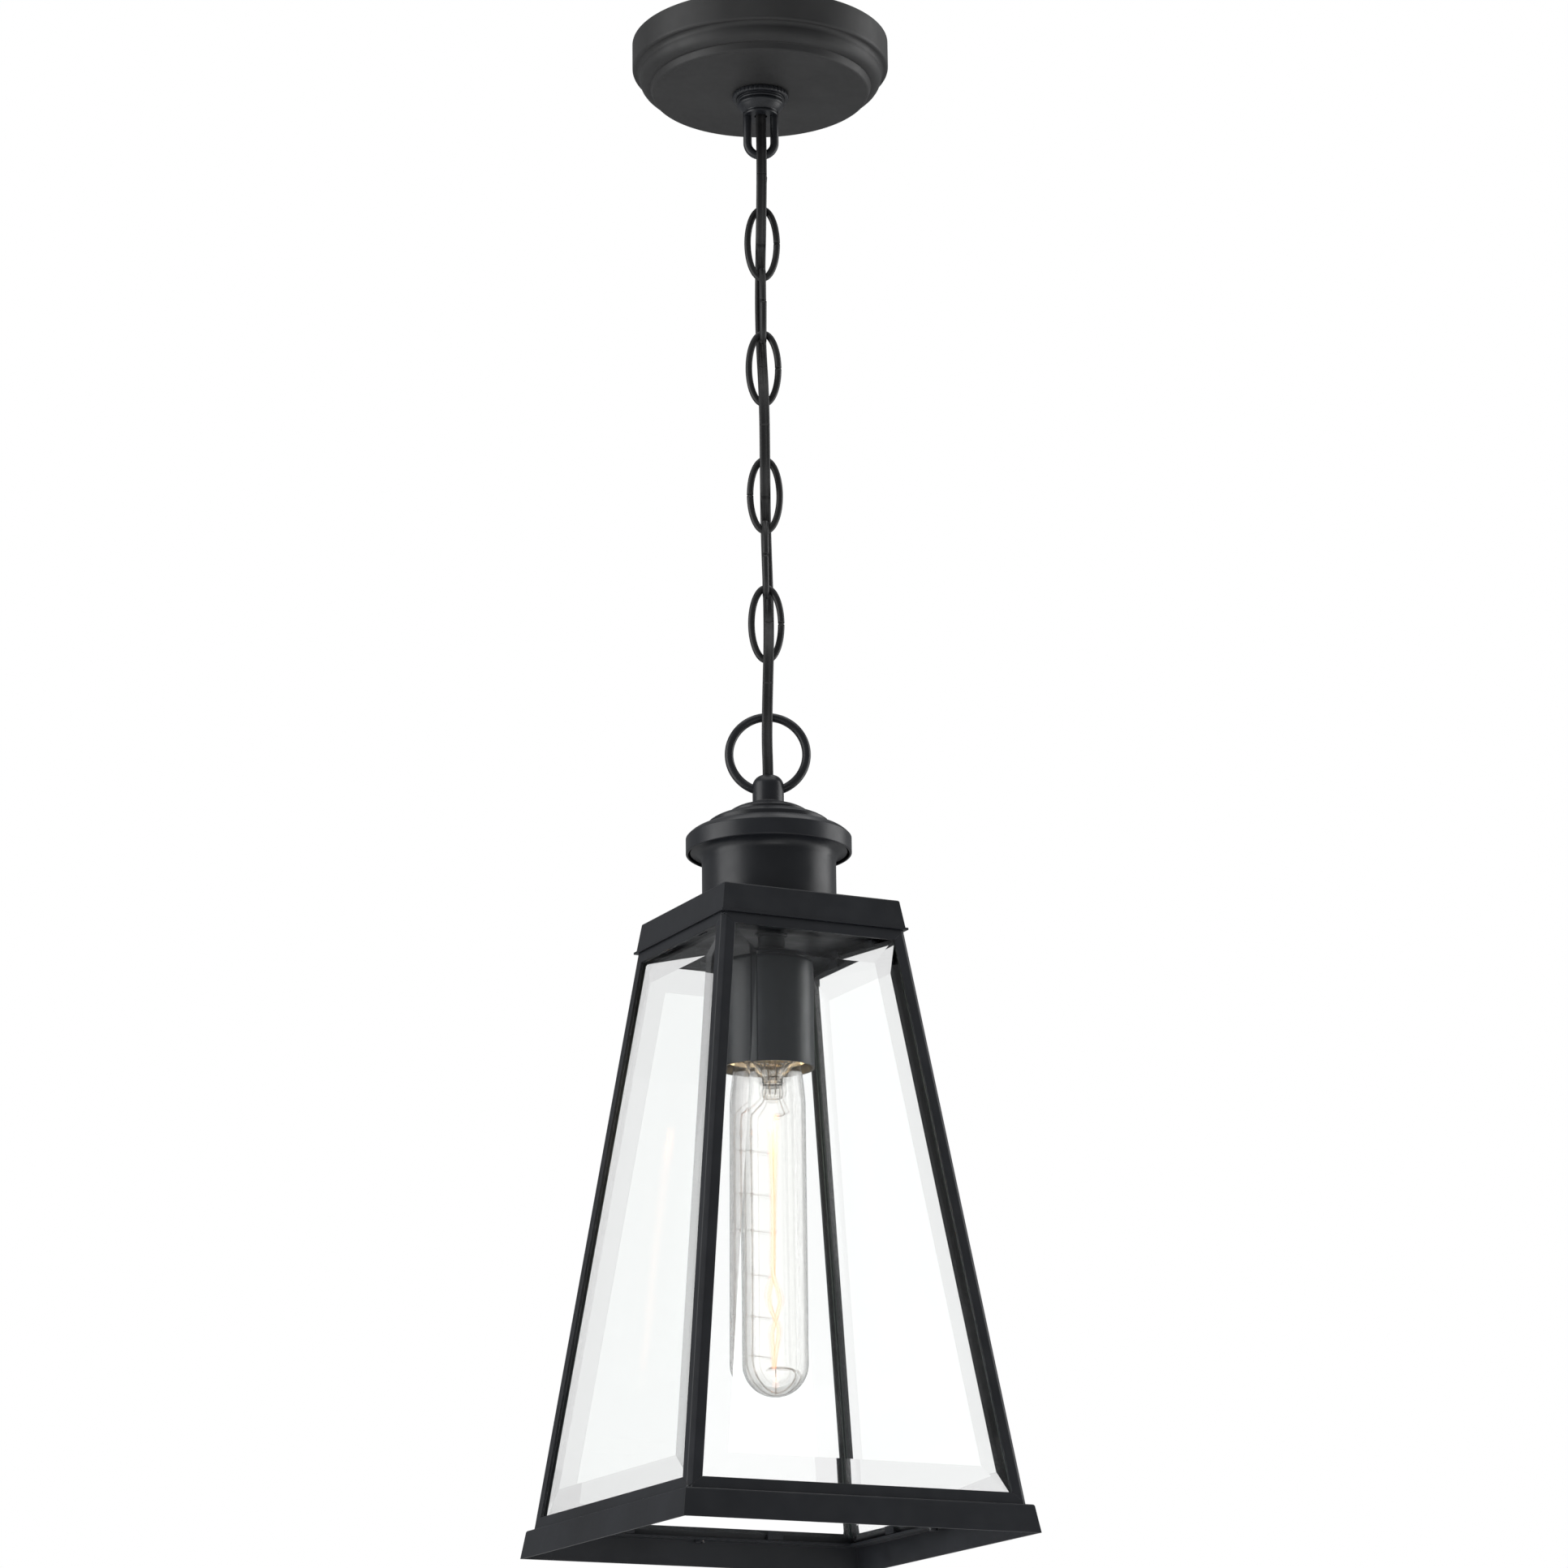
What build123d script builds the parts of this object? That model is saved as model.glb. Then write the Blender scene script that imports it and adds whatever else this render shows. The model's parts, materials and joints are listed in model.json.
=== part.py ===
"""Hanging lantern: ceiling canopy, nine-link chain with a woven cord, and a glazed square lantern.

Millimetres, +Z up. The origin is on the ceiling plane, at the centre of the canopy, and the
lantern's flat sides face X and Y. Chain parts are drawn in their own plane first (x across the
face-on links, y away from the viewer) and then turned about Z by CHAIN_YAW.
"""
from build123d import *
import math
import os

os.makedirs("parts", exist_ok=True)

# ---------------------------------------------------------------- driving dimensions
CHAIN_YAW = -26.0          # turn of the chain's planes against the lantern's sides, degrees

CANOPY_R = 62.0            # outside radius of the canopy's band
CANOPY_FACE_R = 51.7       # radius of its flat underside
CANOPY_H = 26.3            # depth of the canopy below the ceiling
SHEET = 1.0                # thickness of spun and folded sheet
THREAD_R = 11.6            # threaded shank of the canopy loop
RUNNING_GAP = 0.08         # radial clearance of the screw collar on that thread
COLLAR_R = 13.6
COLLAR_H = 2.6

LOOP_WIRE_R = 2.05         # wire of the canopy loop and of the lantern's ring
LOOP_HALF_W = 6.5          # half width of the canopy loop, to the wire's centre
LOOP_PIVOT_Z = -58.0       # centre of the wire that the first link hangs on
HUB_BOTTOM_Z = -37.6

LINK_COUNT = 9
LINK_LENGTH = 38.6         # outside
LINK_WIDTH = 17.2          # outside
LINK_WIRE_R = 1.6
LINK_GAP = 0.3             # air between two wires that hang in each other
BUTT_GAP = 0.45            # slit where a link's wire ends meet

CORD_W = 5.0               # twin flat cord, across both cores
CORD_T = 2.5
CORD_SWING = 10.3          # how far the cord stands off the chain's middle
CORD_TOP = 10.0            # where its cores are split above the ceiling plane
CORD_CUT_UP = 0.9          # each piece of cord stops this far above the next pivot
CORD_CUT_DOWN = 4.4        # and the next one starts this far below it

RING_R = 18.05             # lantern's ring, to the wire's centre
HUB_R = 7.3
CORD_BORE_R = 2.75
BAND_BOTTOM = 48.4         # depth of the cap's rim below the ring's centre
CAP_R = 38.5
NECK_R = 31.1
ROOF_TOP = 75.8            # depths below the ring's centre
ROOF_BOTTOM = 90.1
FRAME_BOTTOM = 354.2
BASE_BOTTOM = 366.8
ROOF_HALF_TOP = 44.3       # half widths of the square outlines
ROOF_HALF_BOTTOM = 46.5
FRAME_HALF_TOP = 46.2
FRAME_HALF_BOTTOM = 82.5
BASE_HALF_TOP = 84.6
BASE_HALF_BOTTOM = 86.7
FRAME_T = 1.6              # wall of the corner angles and rails
FLANGE = 6.5               # width of a corner angle's leg
RAIL_H = 5.2               # height of a rail on the slope
CORNER_CUT = 2.0           # chamfer on the frame's outer corners
GLASS_T = 3.0
GLASS_INSET = 5.0          # glass edge to the frame's outer corner line
BEVEL_W = 13.5
BEVEL_T = 1.5

STEM_R = 6.3
CUP_R = 19.4
CUP_TOP = 99.5
CUP_BOTTOM = 150.0
BULB_R = 15.0
BULB_TIP = 300.6
BULB_NECK_R = 13.0
BULB_SEAT = 146.0          # where the glass meets the screw shell
SHELL_R = 13.0             # crest radius of the lamp's screw shell

# ---------------------------------------------------------------- derived places
WIRE_STEP = LOOP_WIRE_R + LINK_WIRE_R + LINK_GAP
LINK_STEP = 2 * LINK_WIRE_R + LINK_GAP
LINK_A = LINK_LENGTH / 2 - LINK_WIRE_R        # half length of a link's wire line
LINK_B = LINK_WIDTH / 2 - LINK_WIRE_R
FIRST_TOP = LOOP_PIVOT_Z + WIRE_STEP          # wire centre at the top of link 1
PITCH = 2 * LINK_A - LINK_STEP                # from one pivot to the next
PIVOTS = [LOOP_PIVOT_Z] + [FIRST_TOP - 2 * LINK_A - PITCH * k for k in range(LINK_COUNT)]
LINK_MIDS = [FIRST_TOP - LINK_A - PITCH * k for k in range(LINK_COUNT)]
RING_Z = PIVOTS[-1] + WIRE_STEP - RING_R      # centre of the lantern's ring
SLOPE = (FRAME_HALF_BOTTOM - FRAME_HALF_TOP) / (FRAME_BOTTOM - ROOF_BOTTOM)
LEAN = math.degrees(math.atan(SLOPE))


def down(depth):
    """Height of a point that lies so far below the ring's centre."""
    return RING_Z - depth


def frame_half(depth):
    """Half width of the glazed frame's outside at a depth below the ring's centre."""
    return FRAME_HALF_TOP + SLOPE * (depth - ROOF_BOTTOM)


# ---------------------------------------------------------------- helpers
def chain_plane(shape):
    """Turn a shape from the chain's own plane into the lantern's frame."""
    return shape.rotate(Axis.Z, CHAIN_YAW)


def spun(points):
    """Solid of revolution about Z from (radius, height) corners.

    An item that holds two corners is an arc through the first that ends at the second.
    """
    edges = []
    here = points[0]
    for item in points[1:]:
        if len(item) == 2 and isinstance(item[0], tuple):
            through, end = item
            edges.append(ThreePointArc(*[(r, 0, z) for r, z in (here, through, end)]))
            here = end
        else:
            edges.append(Line((here[0], 0, here[1]), (item[0], 0, item[1])))
            here = item
    edges.append(Line((here[0], 0, here[1]), (points[0][0], 0, points[0][1])))
    return revolve(make_face(edges), Axis.Z)


def tube(outer, inner, low, high):
    """Upright ring or tube between two heights."""
    body = Pos(0, 0, (low + high) / 2) * Cylinder(outer, high - low)
    return body - Pos(0, 0, (low + high) / 2) * Cylinder(inner, high - low + 2)


def rod(radius, start, end):
    """Straight round rod between two points."""
    axis = Vector(*end) - Vector(*start)
    plane = Plane(origin=start, z_dir=axis)
    return extrude(plane * Circle(radius), axis.length)


def bent_rod(radius, points, bend):
    """Round rod along straight runs joined by arcs of one radius."""
    path = FilletPolyline(*points, radius=bend)
    return sweep(Plane(origin=path @ 0, z_dir=path % 0) * Circle(radius), path)


def square_ring_corners(half, cut):
    """Corners of a square with cut corners, anticlockwise."""
    return [
        (half - cut, -half), (half, -half + cut), (half, half - cut), (half - cut, half),
        (-half + cut, half), (-half, half - cut), (-half, -half + cut), (-half + cut, -half),
    ]


def frustum(half_low, low, half_high, high, cut=0.0):
    """Square block that tapers from one half width to another, with optional cut corners."""
    faces = []
    for half, height in ((half_low, low), (half_high, high)):
        corners = square_ring_corners(half, cut) if cut else [
            (half, -half), (half, half), (-half, half), (-half, -half)]
        outline = Polyline([(x, y, height) for x, y in corners], close=True)
        faces.append(make_face(outline))
    return loft(faces)


def group(solids):
    """Several separate solids kept as one node."""
    return Compound(children=[s for item in solids for s in item.solids()])


def four_sides(shape):
    """The same shape on each of the lantern's four sides."""
    return [shape.rotate(Axis.Z, 90 * k) for k in range(4)]


parts = {}


# ---------------------------------------------------------------- ceiling hardware
STRAP_T = 2.0
STRAP_HALF = 52.0
STRAP_W = 16.0
SLOT_SPACING = 88.9        # the two screws of a 4 inch ceiling box
SLOT_LENGTH = 12.0
SLOT_R = 2.4
NIPPLE_R = 4.9
NIPPLE_BORE = 3.3


def ceiling_hardware():
    strap = Pos(0, 0, -STRAP_T / 2) * Box(2 * STRAP_HALF, STRAP_W, STRAP_T)
    strap = fillet(strap.edges().filter_by(Axis.Z), 4)
    slot = extrude(SlotOverall(SLOT_LENGTH, 2 * SLOT_R), STRAP_T, both=True)
    for side in (-1, 1):
        strap -= Pos(side * SLOT_SPACING / 2, 0, 0) * slot
        strap -= Pos(side * 26, 0, 0) * Cylinder(1.6, 3 * STRAP_T)
    parts["mounting_crossbar"] = strap - Cylinder(NIPPLE_R, 3 * STRAP_T)

    nipple = tube(NIPPLE_R, NIPPLE_BORE, -28.0, 5.0)
    for k in range(18):
        nipple -= tube(NIPPLE_R + 1, NIPPLE_R - 0.25, -19.4 + 1.2 * k, -18.9 + 1.2 * k)
    parts["threaded_nipple"] = nipple

    nuts = []
    for low, high in ((0.0, 3.4), (-STRAP_T - 4.4, -STRAP_T - 1.0)):
        plane = Plane.XY.offset(low)
        nuts.append(extrude(plane * (RegularPolygon(8.2, 6) - Circle(NIPPLE_R)), high - low))
    nuts.append(tube(8.0, NIPPLE_R, -STRAP_T - 1.0, -STRAP_T))
    parts["nipple_nuts_and_washer"] = group(nuts)

    head = Pos(26, 0, -STRAP_T - 1.0) * Cylinder(3.2, 2.0)
    head -= Pos(26, 0, -STRAP_T - 2.0) * Box(7, 0.8, 1.4)
    parts["ground_screw"] = head + Pos(26, 0, 1.0 - STRAP_T / 2) * Cylinder(1.55, 2 + STRAP_T)


def canopy_shell():
    band = CANOPY_R
    face = CANOPY_FACE_R
    low = -CANOPY_H
    outer = [
        (band, 0.0), (band, -12.6), ((band - 0.5, -13.9), (band - 1.8, -14.3)),
        ((59.2, -15.0), (58.6, -16.6)), ((57.6, -20.6), (54.6, -22.6)), (53.6, -22.6),
        (face + 1.1, low + 1.6), ((face + 0.5, low + 0.4), (face - 0.9, low)),
        (THREAD_R + 0.5, low),
    ]
    inner = [
        (THREAD_R + 0.5, low + SHEET), (face - 1.2, low + SHEET),
        (face + 0.4, -21.4), (54.2, -21.4), ((56.7, -19.9), (57.5, -16.4)),
        ((58.2, -14.2), (60.3, -13.2)), (band - SHEET, -12.2), (band - SHEET, 0.0),
    ]
    parts["canopy"] = spun(outer + inner)


def canopy_collar():
    low = -CANOPY_H - COLLAR_H
    collar = tube(COLLAR_R, THREAD_R + RUNNING_GAP, low, -CANOPY_H - 0.05)
    groove = Pos(COLLAR_R + 0.15, 0, (low - CANOPY_H) / 2) * Cylinder(0.45, COLLAR_H + 1)
    for k in range(36):
        collar -= groove.rotate(Axis.Z, 10 * k)
    parts["canopy_collar"] = collar


def canopy_loop():
    """Threaded shank, beaded hub and closed loop, one casting with a bore for the cord."""
    hub = spun([
        (0, -20.0), (THREAD_R, -20.0), (THREAD_R, -29.3), (10.9, -29.4), ((11.4, -30.0), (10.9, -30.6)),
        (10.4, -30.8), ((11.3, -31.8), (10.6, -32.9)), ((9.6, -34.2), (8.3, -35.4)),
        ((7.9, -36.0), (8.3, -36.6)), (8.1, HUB_BOTTOM_Z), (0, HUB_BOTTOM_Z),
    ])
    arc_z = LOOP_PIVOT_Z + LOOP_HALF_W
    path = Wire([
        Line((-LOOP_HALF_W, 0, HUB_BOTTOM_Z + 2), (-LOOP_HALF_W, 0, arc_z)),
        ThreePointArc((-LOOP_HALF_W, 0, arc_z), (0, 0, LOOP_PIVOT_Z), (LOOP_HALF_W, 0, arc_z)),
        Line((LOOP_HALF_W, 0, arc_z), (LOOP_HALF_W, 0, HUB_BOTTOM_Z + 2)),
    ])
    wire = sweep(Plane(origin=path @ 0, z_dir=path % 0) * Circle(LOOP_WIRE_R), path)
    loop = hub + wire - Pos(0, 0, -30) * Cylinder(CORD_BORE_R + 0.3, 40)
    loop -= Pos(0, 0, -23.9) * Cylinder(NIPPLE_R, 8.2)
    parts["canopy_loop"] = chain_plane(loop)


# ---------------------------------------------------------------- chain
# turn of each link about Z: even places stand edge-on, odd places face-on; the slit side varies
BUTT_SIDES = [-1, 1, -1, 1, -1, -1, -1, 1, -1]


def link_shape(butt_side):
    """Oval wire link in the XZ plane, slit in the middle of one long side."""
    slit = math.degrees(BUTT_GAP / 2 / LINK_A)
    start = (0 if butt_side > 0 else 180) + slit
    path = EllipticalCenterArc((0, 0), LINK_B, LINK_A, start_angle=start, arc_size=360 - 2 * slit)
    wire = sweep(Plane(origin=path @ 0, z_dir=path % 0) * Circle(LINK_WIRE_R), path)
    return wire.rotate(Axis.X, 90)


def chain_links():
    for k in range(LINK_COUNT):
        link = link_shape(BUTT_SIDES[k])
        if k % 2 == 0:
            link = link.rotate(Axis.Z, 90)
        parts[f"chain_link_{k + 1}"] = chain_plane(Pos(0, 0, LINK_MIDS[k]) * link)


# ---------------------------------------------------------------- cord
def cord_route():
    """Corners of the cord's route as (y, z): it swings in front of links 1, 5, 9 and behind 3, 7."""
    near = 6.0                 # half of the run beside an edge-on link
    knee = 15.5                # where it starts to cross over
    knee_out = 0.62            # share of the swing there
    route = [(0.0, CORD_TOP), (0.0, -38.5), (-3.6, -47.5), (-9.0, -57.5)]
    for k in range(0, LINK_COUNT, 2):
        side = -1 if k % 4 == 0 else 1
        mid = LINK_MIDS[k]
        if k > 0:
            route.append((side * CORD_SWING * knee_out, mid + near + knee))
        route.append((side * CORD_SWING, mid + near))
        route.append((side * CORD_SWING, mid - near))
        if k < LINK_COUNT - 1:
            route.append((side * CORD_SWING * knee_out, mid - near - knee))
    hub_top = down(10.5)
    route += [
        (-8.6, hub_top + 25.8), (-4.6, hub_top + 14.8), (-1.3, hub_top + 4.8),
        (0.0, hub_top - 6.8), (0.0, down(96.0)),
    ]
    return route


def cord_pieces():
    route = cord_route()
    points = [(0, y, z) for y, z in route]
    radii = []
    for before, here, after in zip(points, points[1:], points[2:]):
        a = Vector(*here) - Vector(*before)
        b = Vector(*after) - Vector(*here)
        turn = math.radians(a.get_angle(b))
        radii.append(0.45 * min(a.length, b.length, 24.0) / math.tan(turn / 2))
    print("cord bend radii, mm:", [round(r, 1) for r in radii])
    path = FilletPolyline(*points, radius=radii)
    half = CORD_W / 2
    section = Plane(origin=path @ 0, x_dir=(1, 0, 0), z_dir=path % 0) * SlotOverall(CORD_W, CORD_T)
    cord = sweep(section, path)
    area = section.area
    print("cord length, mm:", round(path.length, 1), "from its volume:", round(cord.volume / area, 1))

    cuts = [CORD_TOP] + PIVOTS + [route[-1][1]]
    for k in range(len(cuts) - 1):
        high = cuts[k] - (CORD_CUT_DOWN if k > 0 else 0)
        low = cuts[k + 1] + (CORD_CUT_UP if k < len(cuts) - 2 else 0)
        slab = Pos(0, 0, (high + low) / 2) * Box(4 * half, 60, high - low)
        pieces = [cord & slab]
        name = f"power_cord_{k}"
        if k == 0:
            name = "power_cord_top"
            pieces += split_cores(high, 9.0, 1)
        if k == len(cuts) - 2:
            name = "power_cord_bottom"
            pieces += split_cores(low, 8.0, -1)
        parts[name] = chain_plane(group(pieces))


def split_cores(start, spread, way):
    """The two cores where the flat cord is split: each turns aside and ends upright."""
    cores = []
    for side in (-1, 1):
        near, far = side * CORD_T / 2, side * spread
        points = [(near, 0, start), (near, 0, start + 4 * way),
                  (far, 0, start + 9 * way), (far, 0, start + 15 * way)]
        cores.append(bent_rod(1.2, points, 2.0))
    return cores


def wire_nuts():
    """Wire nuts on the two cores above the nipple, for the splices in the ceiling box."""
    upright = (Align.CENTER, Align.CENTER, Align.MIN)
    nut = Cone(4.6, 2.8, 12.0, align=upright)
    nuts = [Pos(side * 9.0, 0, CORD_TOP + 15.0) * nut for side in (-1, 1)]
    parts["wire_nuts"] = chain_plane(group(nuts))


# ---------------------------------------------------------------- lantern head
def lantern_loop():
    """Cast ring with its domed hub; the cord enters the top of the hub."""
    ring = Pos(0, 0, RING_Z) * Torus(RING_R, LOOP_WIRE_R).rotate(Axis.X, 90)
    hub = spun([
        (0, down(10.5)), (3.6, down(10.5)), ((6.4, down(12.6)), (HUB_R, down(16.2))),
        (HUB_R, down(23.6)), (8.2, down(24.0)), (8.2, down(24.9)), (0, down(24.9)),
    ])
    loop = ring + hub - Pos(0, 0, down(18)) * Cylinder(CORD_BORE_R, 20)
    parts["lantern_loop"] = chain_plane(loop)


def head_discs():
    """Two stepped discs, the cap with its rim, and the flared neck under it."""
    hole = NIPPLE_R + 0.2
    parts["small_cap_disc"] = spun([
        (hole, down(24.9)), (8.6, down(24.9)), ((14.4, down(26.1)), (18.3, down(28.2))),
        (18.3, down(30.0)), (hole, down(30.0)),
    ])
    parts["large_cap_disc"] = spun([
        (hole, down(30.0)), (18.8, down(30.0)), ((24.4, down(31.2)), (28.2, down(33.4))),
        (28.2, down(36.0)), (hole, down(36.0)),
    ])
    lip = BAND_BOTTOM
    parts["cap"] = spun([
        (hole, down(36.0)), (28.8, down(36.0)), ((34.6, down(37.4)), (CAP_R, down(40.6))),
        (CAP_R, down(lip - 0.4)), ((CAP_R - 0.1, down(lip - 0.1)), (CAP_R - 0.4, down(lip))),
        (CAP_R - 1.1, down(lip)), (CAP_R - 1.1, down(41.1)), ((33.9, down(38.4)), (28.6, down(37.0))),
        (hole, down(37.0)),
    ])
    flare = 5.4
    top = 47.4
    bend = flare * (1 - math.sqrt(0.5))
    parts["neck"] = spun([
        (NECK_R, down(ROOF_TOP)), (NECK_R, down(top + flare)),
        ((NECK_R + bend, down(top + bend)), (NECK_R + flare, down(top))),
        (NECK_R + flare, down(top - SHEET)),
        ((NECK_R - SHEET + bend, down(top - SHEET + bend)), (NECK_R - SHEET, down(top + flare))),
        (NECK_R - SHEET, down(ROOF_TOP)),
    ])


def roof():
    wall = 1.2
    top, bottom = down(ROOF_TOP), down(ROOF_BOTTOM)
    box = frustum(ROOF_HALF_BOTTOM, bottom, ROOF_HALF_TOP, top)
    box = fillet(box.edges().group_by(Axis.Z)[-1], 1.0)
    lip = Pos(0, 0, bottom + 0.5) * Box(2 * ROOF_HALF_BOTTOM + 1.6, 2 * ROOF_HALF_BOTTOM + 1.6, 1.0)
    inside = frustum(ROOF_HALF_BOTTOM - wall, bottom - 0.01, ROOF_HALF_TOP - wall, top - wall)
    parts["roof_box"] = box + lip - inside - Pos(0, 0, top) * Cylinder(NIPPLE_R + 0.2, 10)
    half = ROOF_HALF_BOTTOM - wall - 0.3
    plate = Pos(0, 0, bottom + 0.6) * Box(2 * half, 2 * half, 1.2)
    parts["ceiling_plate"] = plate - Pos(0, 0, bottom) * Cylinder(NIPPLE_R + 0.2, 10)


def hanging_rod():
    """Threaded tube that ties the ring's hub, cap, neck, roof and stem together, with its nuts."""
    parts["hanging_tube"] = tube(NIPPLE_R, CORD_BORE_R + 0.3, down(CUP_TOP - 0.2), down(24.9))
    nuts = []
    for depth in (38.9, ROOF_TOP + 3.1):
        plane = Plane.XY.offset(down(depth))
        nuts.append(extrude(plane * (RegularPolygon(8.2, 6) - Circle(NIPPLE_R)), 1.8))
    parts["hanging_tube_nuts"] = group(nuts)
    parts["stem"] = spun([
        (NIPPLE_R, down(ROOF_BOTTOM)), (STEM_R + 1.2, down(ROOF_BOTTOM)),
        (STEM_R + 1.2, down(ROOF_BOTTOM + 0.8)),
        (STEM_R, down(ROOF_BOTTOM + 1.4)), (STEM_R, down(96.2)), (STEM_R + 0.4, down(96.6)),
        (STEM_R + 0.4, down(CUP_TOP)), (NIPPLE_R, down(CUP_TOP)),
    ])


# ---------------------------------------------------------------- lamp holder
def lamp_holder():
    wall = 1.1
    cup = spun([
        (NIPPLE_R, down(CUP_TOP)), (CUP_R - 2.5, down(CUP_TOP)),
        ((CUP_R - 0.7, down(CUP_TOP + 0.7)), (CUP_R, down(CUP_TOP + 2.5))),
        (CUP_R, down(CUP_BOTTOM)), (CUP_R - wall, down(CUP_BOTTOM)), (CUP_R - wall, down(CUP_TOP + 2.8)),
        ((CUP_R - wall - 0.5, down(CUP_TOP + 1.6)), (CUP_R - wall - 1.7, down(CUP_TOP + wall))),
        (NIPPLE_R, down(CUP_TOP + wall)),
    ])
    parts["socket_cup"] = cup
    parts["socket_body"] = spun([
        (0, down(112.0)), (15.0, down(112.0)), (16.4, down(113.6)), (16.4, down(146.4)),
        (14.2, down(146.4)), (14.2, down(117.4)), (0, down(117.4)),
    ])
    shell = [(13.62, down(120.0))]
    for k in range(6):
        z = 121.4 + 3.63 * k
        shell += [(13.62, down(z)), ((14.1, down(z + 0.9)), (13.62, down(z + 1.8)))]
    shell += [(13.62, down(145.6)), (13.3, down(145.6)), (13.3, down(120.0))]
    parts["socket_screw_shell"] = spun(shell)
    strip = Pos(0, 0, down(117.7)) * Box(18, 5, 0.6)
    parts["socket_contact"] = strip + Pos(0, 0, down(118.2)) * Cylinder(2.4, 0.9)


def bulb():
    """Long tubular filament lamp. The contact is on the axis, so it is the part that only slides."""
    parts["lamp_contact"] = spun([
        (0, down(119.0)), (2.6, down(119.0)), ((3.7, down(119.5)), (4.2, down(120.8))), (0, down(120.8)),
    ])
    parts["lamp_insulator"] = spun([
        (0, down(120.8)), (5.0, down(120.8)), (9.4, down(123.4)), (0, down(123.4)),
    ])
    rims = [(0, down(123.4)), (9.4, down(123.4)), ((11.8, down(123.9)), (12.4, down(125.4)))]
    for k in range(4):
        z = 126.2 + 3.63 * k
        rims += [(12.5, down(z)), ((SHELL_R, down(z + 0.9)), (12.5, down(z + 1.8)))]
    rims += [(12.5, down(BULB_SEAT)), (0, down(BULB_SEAT))]
    parts["lamp_screw_shell"] = spun(rims)

    wall = 0.8
    tip = BULB_TIP - BULB_R
    diag = math.sqrt(0.5)
    outside = [
        (11.9, down(BULB_SEAT)), (BULB_NECK_R, down(BULB_SEAT + 1.5)),
        ((14.0, down(155.0)), (BULB_R, down(166.0))), (BULB_R, down(tip)),
        ((BULB_R * diag, down(tip + BULB_R * diag)), (0, down(BULB_TIP))),
    ]
    thin = BULB_R - wall
    inside = [
        (0, down(BULB_TIP - wall)), ((thin * diag, down(tip + thin * diag)), (thin, down(tip))),
        (thin, down(166.0)), ((13.2, down(155.0)), (BULB_NECK_R - wall, down(BULB_SEAT + 1.5))),
        (11.1, down(BULB_SEAT)),
    ]
    parts["lamp_glass"] = spun(outside + inside)
    mount = spun([
        (0, down(BULB_SEAT)), (10.4, down(BULB_SEAT)), ((7.0, down(150.0)), (4.2, down(158.0))),
        (3.2, down(164.0)), (2.2, down(167.0)), (0, down(168.0)),
    ])
    spine_x, spine_r = -10.3, 0.45
    spine = bent_rod(spine_r, [(-2.2, 0, down(163.5)), (-2.2, 0, down(171.0)), (spine_x, 0, down(176.0)),
                               (spine_x, 0, down(290.0))], 2.4)
    hooks = [spine]
    for k in range(6):
        z = down(190.0 + 18.5 * k)
        hooks.append(rod(0.35, (spine_x + spine_r, 0, z), (spine_x + 4.0, 0, z - 1.2)))
    parts["filament_supports"] = group(hooks)
    parts["lamp_mount"] = mount - spine
    strands = []
    for k in range(4):
        angle = 45 + 90 * k
        x, y = math.cos(math.radians(angle)), math.sin(math.radians(angle))
        strands.append(rod(0.5, (3.4 * x, 3.4 * y, down(170.0)), (4.6 * x, 4.6 * y, down(286.0))))
    parts["filament"] = group(strands)


# ---------------------------------------------------------------- glazed frame
def side_plane(depth):
    """Plane of the front side's outer face: x to the right, y up the slope, z outwards."""
    lean = math.radians(LEAN)
    return Plane(origin=(0, -frame_half(depth), down(depth)), x_dir=(1, 0, 0),
                 z_dir=(0, -math.cos(lean), math.sin(lean)))


def slope_length(depth):
    """Distance up the slope from the frame's bottom edge to a depth below the ring."""
    return (FRAME_BOTTOM - depth) / math.cos(math.radians(LEAN))


def frame():
    """Four corner angles and the top and bottom rails, mitred where they meet."""
    top, bottom = down(ROOF_BOTTOM), down(FRAME_BOTTOM)
    outer = frustum(FRAME_HALF_BOTTOM, bottom, FRAME_HALF_TOP, top, cut=CORNER_CUT)
    wall = FRAME_T / math.cos(math.radians(LEAN))
    inner = frustum(FRAME_HALF_BOTTOM - wall, bottom, FRAME_HALF_TOP - wall, top)
    shell = outer - inner

    plane = side_plane(FRAME_BOTTOM)
    up = slope_length(ROOF_BOTTOM)
    low_half, high_half = FRAME_HALF_BOTTOM, FRAME_HALF_TOP
    share = RAIL_H / up
    low_inner = low_half + (high_half - low_half) * share - FLANGE
    high_inner = high_half + (low_half - high_half) * share - FLANGE
    quarter = Polyline((0, 0, bottom - 5), (-99, -99, bottom - 5), (99, -99, bottom - 5), close=True)
    wedge = extrude(make_face(quarter), 300)
    rails = {}
    outlines = {
        "bottom": [(-low_half, 0), (low_half, 0), (low_inner, RAIL_H), (-low_inner, RAIL_H)],
        "top": [(-high_half, up), (-high_inner, up - RAIL_H), (high_inner, up - RAIL_H), (high_half, up)],
    }
    for name, corners in outlines.items():
        strip = extrude(plane * make_face(Polyline(*corners, close=True)), 4, both=True)
        rails[name] = four_sides(strip & shell & wedge)
        parts[f"{name}_rails"] = group(rails[name])

    ends = []
    for half, z in ((FRAME_HALF_BOTTOM, bottom), (FRAME_HALF_TOP, top)):
        near, far = -half - 1, -half + FLANGE
        ends.append(make_face(Polyline((near, near, z), (far, near, z), (far, far, z), (near, far, z),
                                       close=True)))
    post = shell & loft(ends)
    for rail in rails["bottom"] + rails["top"]:
        post -= rail
    post = max(post.solids(), key=lambda s: s.volume)
    parts["corner_posts"] = group(four_sides(post))


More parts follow.
